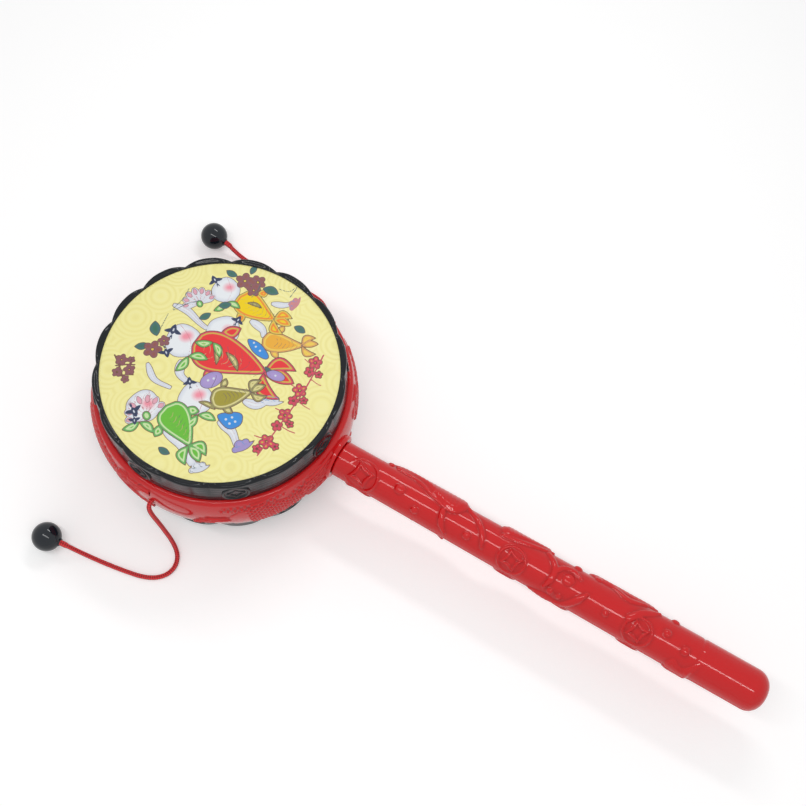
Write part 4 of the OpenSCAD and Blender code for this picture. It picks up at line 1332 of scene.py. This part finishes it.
# %% [markdown]
# The print uses about twenty inks, chosen beside the photograph: strong red, yellow and blue on pale
# paper, with thin dark outlines. They stand in the order of printing, so later ones cover earlier ones.

# %% Inks
LAYERS = [
    "white", "blush", "pink", "rose", "orange", "yellow", "red", "blue", "olive", "green", "dark_green",
    "violet", "brown", "night", "ink", "gold_line", "dark_line", "red_line", "white_line", "blue_line",
]
# Colours of the layers and of the trim lines inside them, and the width of the dark outlines in mm.
PAINT = {
    "white": (0.8, 0.83, 0.86), "blush": (0.86, 0.3, 0.38), "pink": (0.88, 0.42, 0.46),
    "rose": (0.7, 0.25, 0.22), "orange": (0.82, 0.42, 0.05), "yellow": (0.86, 0.62, 0.01),
    "red": (0.78, 0.045, 0.05), "blue": (0.05, 0.28, 0.72), "olive": (0.36, 0.31, 0.05),
    "green": (0.15, 0.5, 0.05), "dark_green": (0.05, 0.16, 0.1), "violet": (0.42, 0.32, 0.62),
    "brown": (0.3, 0.09, 0.05), "ink": (0.12, 0.05, 0.03), "night": (0.018, 0.02, 0.035),
    "gold_line": (0.66, 0.47, 0.12), "dark_line": (0.08, 0.13, 0.08), "red_line": (0.66, 0.05, 0.03),
    "white_line": (0.8, 0.84, 0.88), "blue_line": (0.16, 0.34, 0.66),
}
TRIM = {
    "red": (0.62, 0.47, 0.08), "green": (0.62, 0.78, 0.42), "yellow": (0.86, 0.22, 0.04),
    "olive": (0.72, 0.66, 0.3), "orange": (0.86, 0.62, 0.1),
}
OUTLINED = {
    "white": 0.24, "orange": 0.3, "yellow": 0.26, "red": 0.34, "blue": 0.3, "olive": 0.3, "green": 0.3,
    "dark_green": 0.2, "violet": 0.24, "brown": 0.2, "pink": 0.14,
}
SHADE, OUTLINE_INK = (0.14, 0.20, 0.42, 1), (0.14, 0.06, 0.04, 1)
# How sharp borders are, and where the trim line runs: its distance from the border and half its width.
SHARPNESS, TRIM_AT, TRIM_HALF, TRIM_STRENGTH = 8.0, -1.0, 0.3, 0.9

# %% [markdown]
# One shader group prints one colour over what is below it: sharp at its border, darker towards it, with
# a trim line inside and a dark outline. The head's material is a chain of these, from the ground up.

# %% One printed colour
def build_paint():
    """One printed colour over what is below: shaded at its border, with a trim line and a dark outline."""
    tree, inp, out = new_group("paint", [
        ("Distance", "INPUT", "NodeSocketFloat", 1.0), ("Below", "INPUT", "NodeSocketColor", None),
        ("Paint", "INPUT", "NodeSocketColor", None), ("Trim", "INPUT", "NodeSocketColor", None),
        ("Trim Amount", "INPUT", "NodeSocketFloat", 0.0), ("Outline", "INPUT", "NodeSocketFloat", 0.3),
        ("Color", "OUTPUT", "NodeSocketColor", None)])
    d = inp.outputs["Distance"]

    def band(middle, half):
        """1 where the distance is within half of the middle."""
        off = math_node(tree, "ABSOLUTE", math_node(tree, "ADD", d, -middle))
        share = math_node(tree, "MULTIPLY_ADD", math_node(tree, "SUBTRACT", off, half), -SHARPNESS, 0.5)
        tree.nodes[-1].use_clamp = True
        return share

    inside = math_node(tree, "MULTIPLY_ADD", d, -SHARPNESS, 0.5)
    tree.nodes[-1].use_clamp = True
    shade = math_node(tree, "MULTIPLY_ADD", d, 0.5, 0.9)
    tree.nodes[-1].use_clamp = True
    dark = mix_colour(tree, 0.34, inp.outputs["Paint"], SHADE)
    colour = mix_colour(tree, math_node(tree, "MULTIPLY", shade, 0.85), inp.outputs["Paint"], dark)
    trim = math_node(tree, "MULTIPLY", band(TRIM_AT, TRIM_HALF), inp.outputs["Trim Amount"])
    colour = mix_colour(tree, trim, colour, inp.outputs["Trim"])
    colour = mix_colour(tree, inside, inp.outputs["Below"], colour)
    half_outline = math_node(tree, "MULTIPLY", inp.outputs["Outline"], 0.5)
    ink = math_node(tree, "MULTIPLY", band(0.0, half_outline), 0.85)
    used = math_node(tree, "GREATER_THAN", inp.outputs["Outline"], 0.01)
    colour = mix_colour(tree, math_node(tree, "MULTIPLY", ink, used), colour, OUTLINE_INK)
    tree.links.new(colour, out.inputs["Color"])
    return tree


PAINT_LAYER = build_paint()
print("one printed colour takes", len(PAINT_LAYER.nodes), "nodes")

# %% [markdown]
# The heads' material starts from the paper and goes through the inks that the picture uses. Printed
# paper is less glossy than the plastic round it, so it is rougher and mirrors less.

# %% Material of the heads
def picture_material(name, used):
    """Paper, and over it each layer where its signed distance is under zero; the blush is only a tint."""
    mat = bpy.data.materials.new(name)
    mat.use_nodes = True
    tree = mat.node_tree
    shader = tree.nodes["Principled BSDF"]
    ground = tree.nodes.new("ShaderNodeGroup")
    ground.node_tree = RIPPLES
    colour = ground.outputs["Color"]
    for layer in used:
        value = tree.nodes.new("ShaderNodeAttribute")
        value.attribute_name = layer
        if layer == "blush":
            factor = math_node(tree, "MULTIPLY_ADD", value.outputs["Fac"], -0.45, 0.42)
            tree.nodes[-1].use_clamp = True
            colour = mix_colour(tree, factor, colour, (*PAINT[layer], 1))
            continue
        paint = tree.nodes.new("ShaderNodeGroup")
        paint.node_tree = PAINT_LAYER
        trim = TRIM.get(layer)
        paint.inputs["Paint"].default_value = (*PAINT[layer], 1)
        paint.inputs["Trim"].default_value = (*(trim or PAINT[layer]), 1)
        paint.inputs["Trim Amount"].default_value = TRIM_STRENGTH if trim else 0.0
        paint.inputs["Outline"].default_value = OUTLINED.get(layer, 0.0)
        tree.links.new(value.outputs["Fac"], paint.inputs["Distance"])
        tree.links.new(colour, paint.inputs["Below"])
        colour = paint.outputs["Color"]
    tree.links.new(colour, shader.inputs["Base Color"])
    shader.inputs["Roughness"].default_value = 0.38
    shader.inputs["Specular IOR Level"].default_value = 0.25
    return mat


print("colours:", len(PAINT), "of which", len(OUTLINED), "have an outline")

# %% [markdown]
# A head is a thin sheet, stretched over the hoop so that it bulges a little. It could be a plain disc;
# the low dome gives it the soft change of light that the real one has. Its rings and spokes are
# close enough for the print's edges to stay smooth, and the back one shows the same picture.

# %% Drumheads
# The sheet's radius, the dome's radius and rise, and the depth of the closed body under it.
HEAD_R, DOME_R, DOME_RISE, HEAD_DEPTH = 45.0, 43.8, 1.0, 0.6
HEAD_RINGS, HEAD_SPOKES = 118, 640


def drumhead(name, sign, node):
    """A sheet z = edge + rise (1 - (r/R)^2), closed below, with the print's distances on its points."""
    t = np.arange(HEAD_SPOKES) * 2 * np.pi / HEAD_SPOKES
    r = np.linspace(0, HEAD_R, HEAD_RINGS)
    z = HEAD_Z + DOME_RISE * np.clip(1 - (r / DOME_R) ** 2, 0, 1)
    rr, zz = np.r_[r, HEAD_R, 0.0], np.r_[z, HEAD_Z - HEAD_DEPTH, HEAD_Z - HEAD_DEPTH]
    x, y = rr[:, None] * np.cos(t), rr[:, None] * np.sin(t)
    grid = np.stack([x, y, sign * np.repeat(zz[:, None], HEAD_SPOKES, 1)], -1) + CENTRE
    flat = np.stack([x.ravel(), sign * y.ravel()], -1)
    pic = Picture(np.c_[flat @ U_AXIS, flat @ V_AXIS])
    printed_picture(pic)
    used = [k for k in LAYERS if k in pic.layers]
    piece = net(name, grid, **{k: pic.layers[k].reshape(x.shape) for k in used})
    finish_piece(piece, picture_material(name + "_print", used), "drum", node)


drumhead("front_drumhead", 1, "front_head")
drumhead("back_drumhead", -1, "back_head")

# %% [markdown]
# A product shot of glossy plastic is lit by long soft lamps, whose reflections draw bright lines along
# the handle and the rims. Small strong lamps would give dots instead. A lamp over the handle is the
# main light, a weaker one comes from the camera's side, and an even grey sky fills the rest.

# %% Lamps
def add_light(name, place, target, size, power):
    """A long lamp that faces a point, with its long side along the handle (Y)."""
    data = bpy.data.lights.new(name, "AREA")
    data.shape = "RECTANGLE"
    data.size, data.size_y = (v * MM for v in size)
    data.energy = power
    light = bpy.data.objects.new(name, data)
    bpy.context.scene.collection.objects.link(light)
    back = np.array(place, float) - target
    back /= np.linalg.norm(back)
    across = np.cross([0, 1.0, 0], back)
    across /= np.linalg.norm(across)
    axes = np.array([across, np.cross(back, across), back]).T
    light.matrix_world = Matrix([[*v, 0] for v in axes] + [[0, 0, 0, 1]])
    light.location = Vector(np.array(place) * MM)


add_light("key", place=(-150, 120, 490), target=(0, 120, 0), size=(44, 560), power=0.92)
add_light("side", place=(300, 220, 400), target=(0, 170, 0), size=(44, 240), power=0.40)
print("lamps:", [lamp.name for lamp in bpy.data.lights])

# %% [markdown]
# The real background is cut out to white. A pale floor just under the object keeps a soft shadow, and a
# little light of its own, that only the camera and mirrors see, makes it white without lighting the
# object from below. The sky works the same way: grey for the object, white to the eye.

# %% Floor and sky
# Strength of the sky, the floor's height and half its side in metres, and its own light.
SKY, FLOOR_Z, FLOOR_HALF, FLOOR_GLOW = 0.55, -0.0252, 3.0, 0.2


def seen_directly(tree):
    """1 for the camera's rays and for those in a mirror or through glass, else 0."""
    rays = tree.nodes.new("ShaderNodeLightPath")
    seen = math_node(tree, "MAXIMUM", rays.outputs["Is Camera Ray"], rays.outputs["Is Glossy Ray"])
    return math_node(tree, "MAXIMUM", seen, rays.outputs["Is Transmission Ray"])


def build_floor():
    """A wide pale sheet just under the object: one square, bright by itself only when seen directly."""
    mesh = bpy.data.meshes.new("floor")
    corners = [(x * FLOOR_HALF, y * FLOOR_HALF, FLOOR_Z) for x, y in ((-1, -1), (1, -1), (1, 1), (-1, 1))]
    mesh.from_pydata(corners, [], [(0, 1, 2, 3)])
    floor = bpy.data.objects.new("floor", mesh)
    bpy.context.scene.collection.objects.link(floor)
    mat = bpy.data.materials.new("floor")
    mat.use_nodes = True
    tree = mat.node_tree
    shader = tree.nodes["Principled BSDF"]
    shader.inputs["Base Color"].default_value = (0.93, 0.93, 0.93, 1)
    shader.inputs["Roughness"].default_value = 0.9
    shader.inputs["Specular IOR Level"].default_value = 0.1
    shader.inputs["Emission Color"].default_value = (1, 1, 1, 1)
    glow = math_node(tree, "MULTIPLY", seen_directly(tree), FLOOR_GLOW)
    tree.links.new(glow, shader.inputs["Emission Strength"])
    mesh.materials.append(mat)


def build_world():
    """Grey light on the object; plain white where the camera, a mirror or glass sees the background."""
    world = bpy.data.worlds.new("world")
    bpy.context.scene.world = world
    world.use_nodes = True
    tree = world.node_tree
    back = tree.nodes["Background"]
    back.inputs["Color"].default_value = (1, 1, 1, 1)
    strength = math_node(tree, "MULTIPLY_ADD", seen_directly(tree), 1.0 - SKY, SKY)
    tree.links.new(strength, back.inputs["Strength"])


build_floor()
build_world()
bpy.context.scene.view_settings.view_transform = "Standard"
print("sky", SKY, "and floor at", FLOOR_Z, "m")
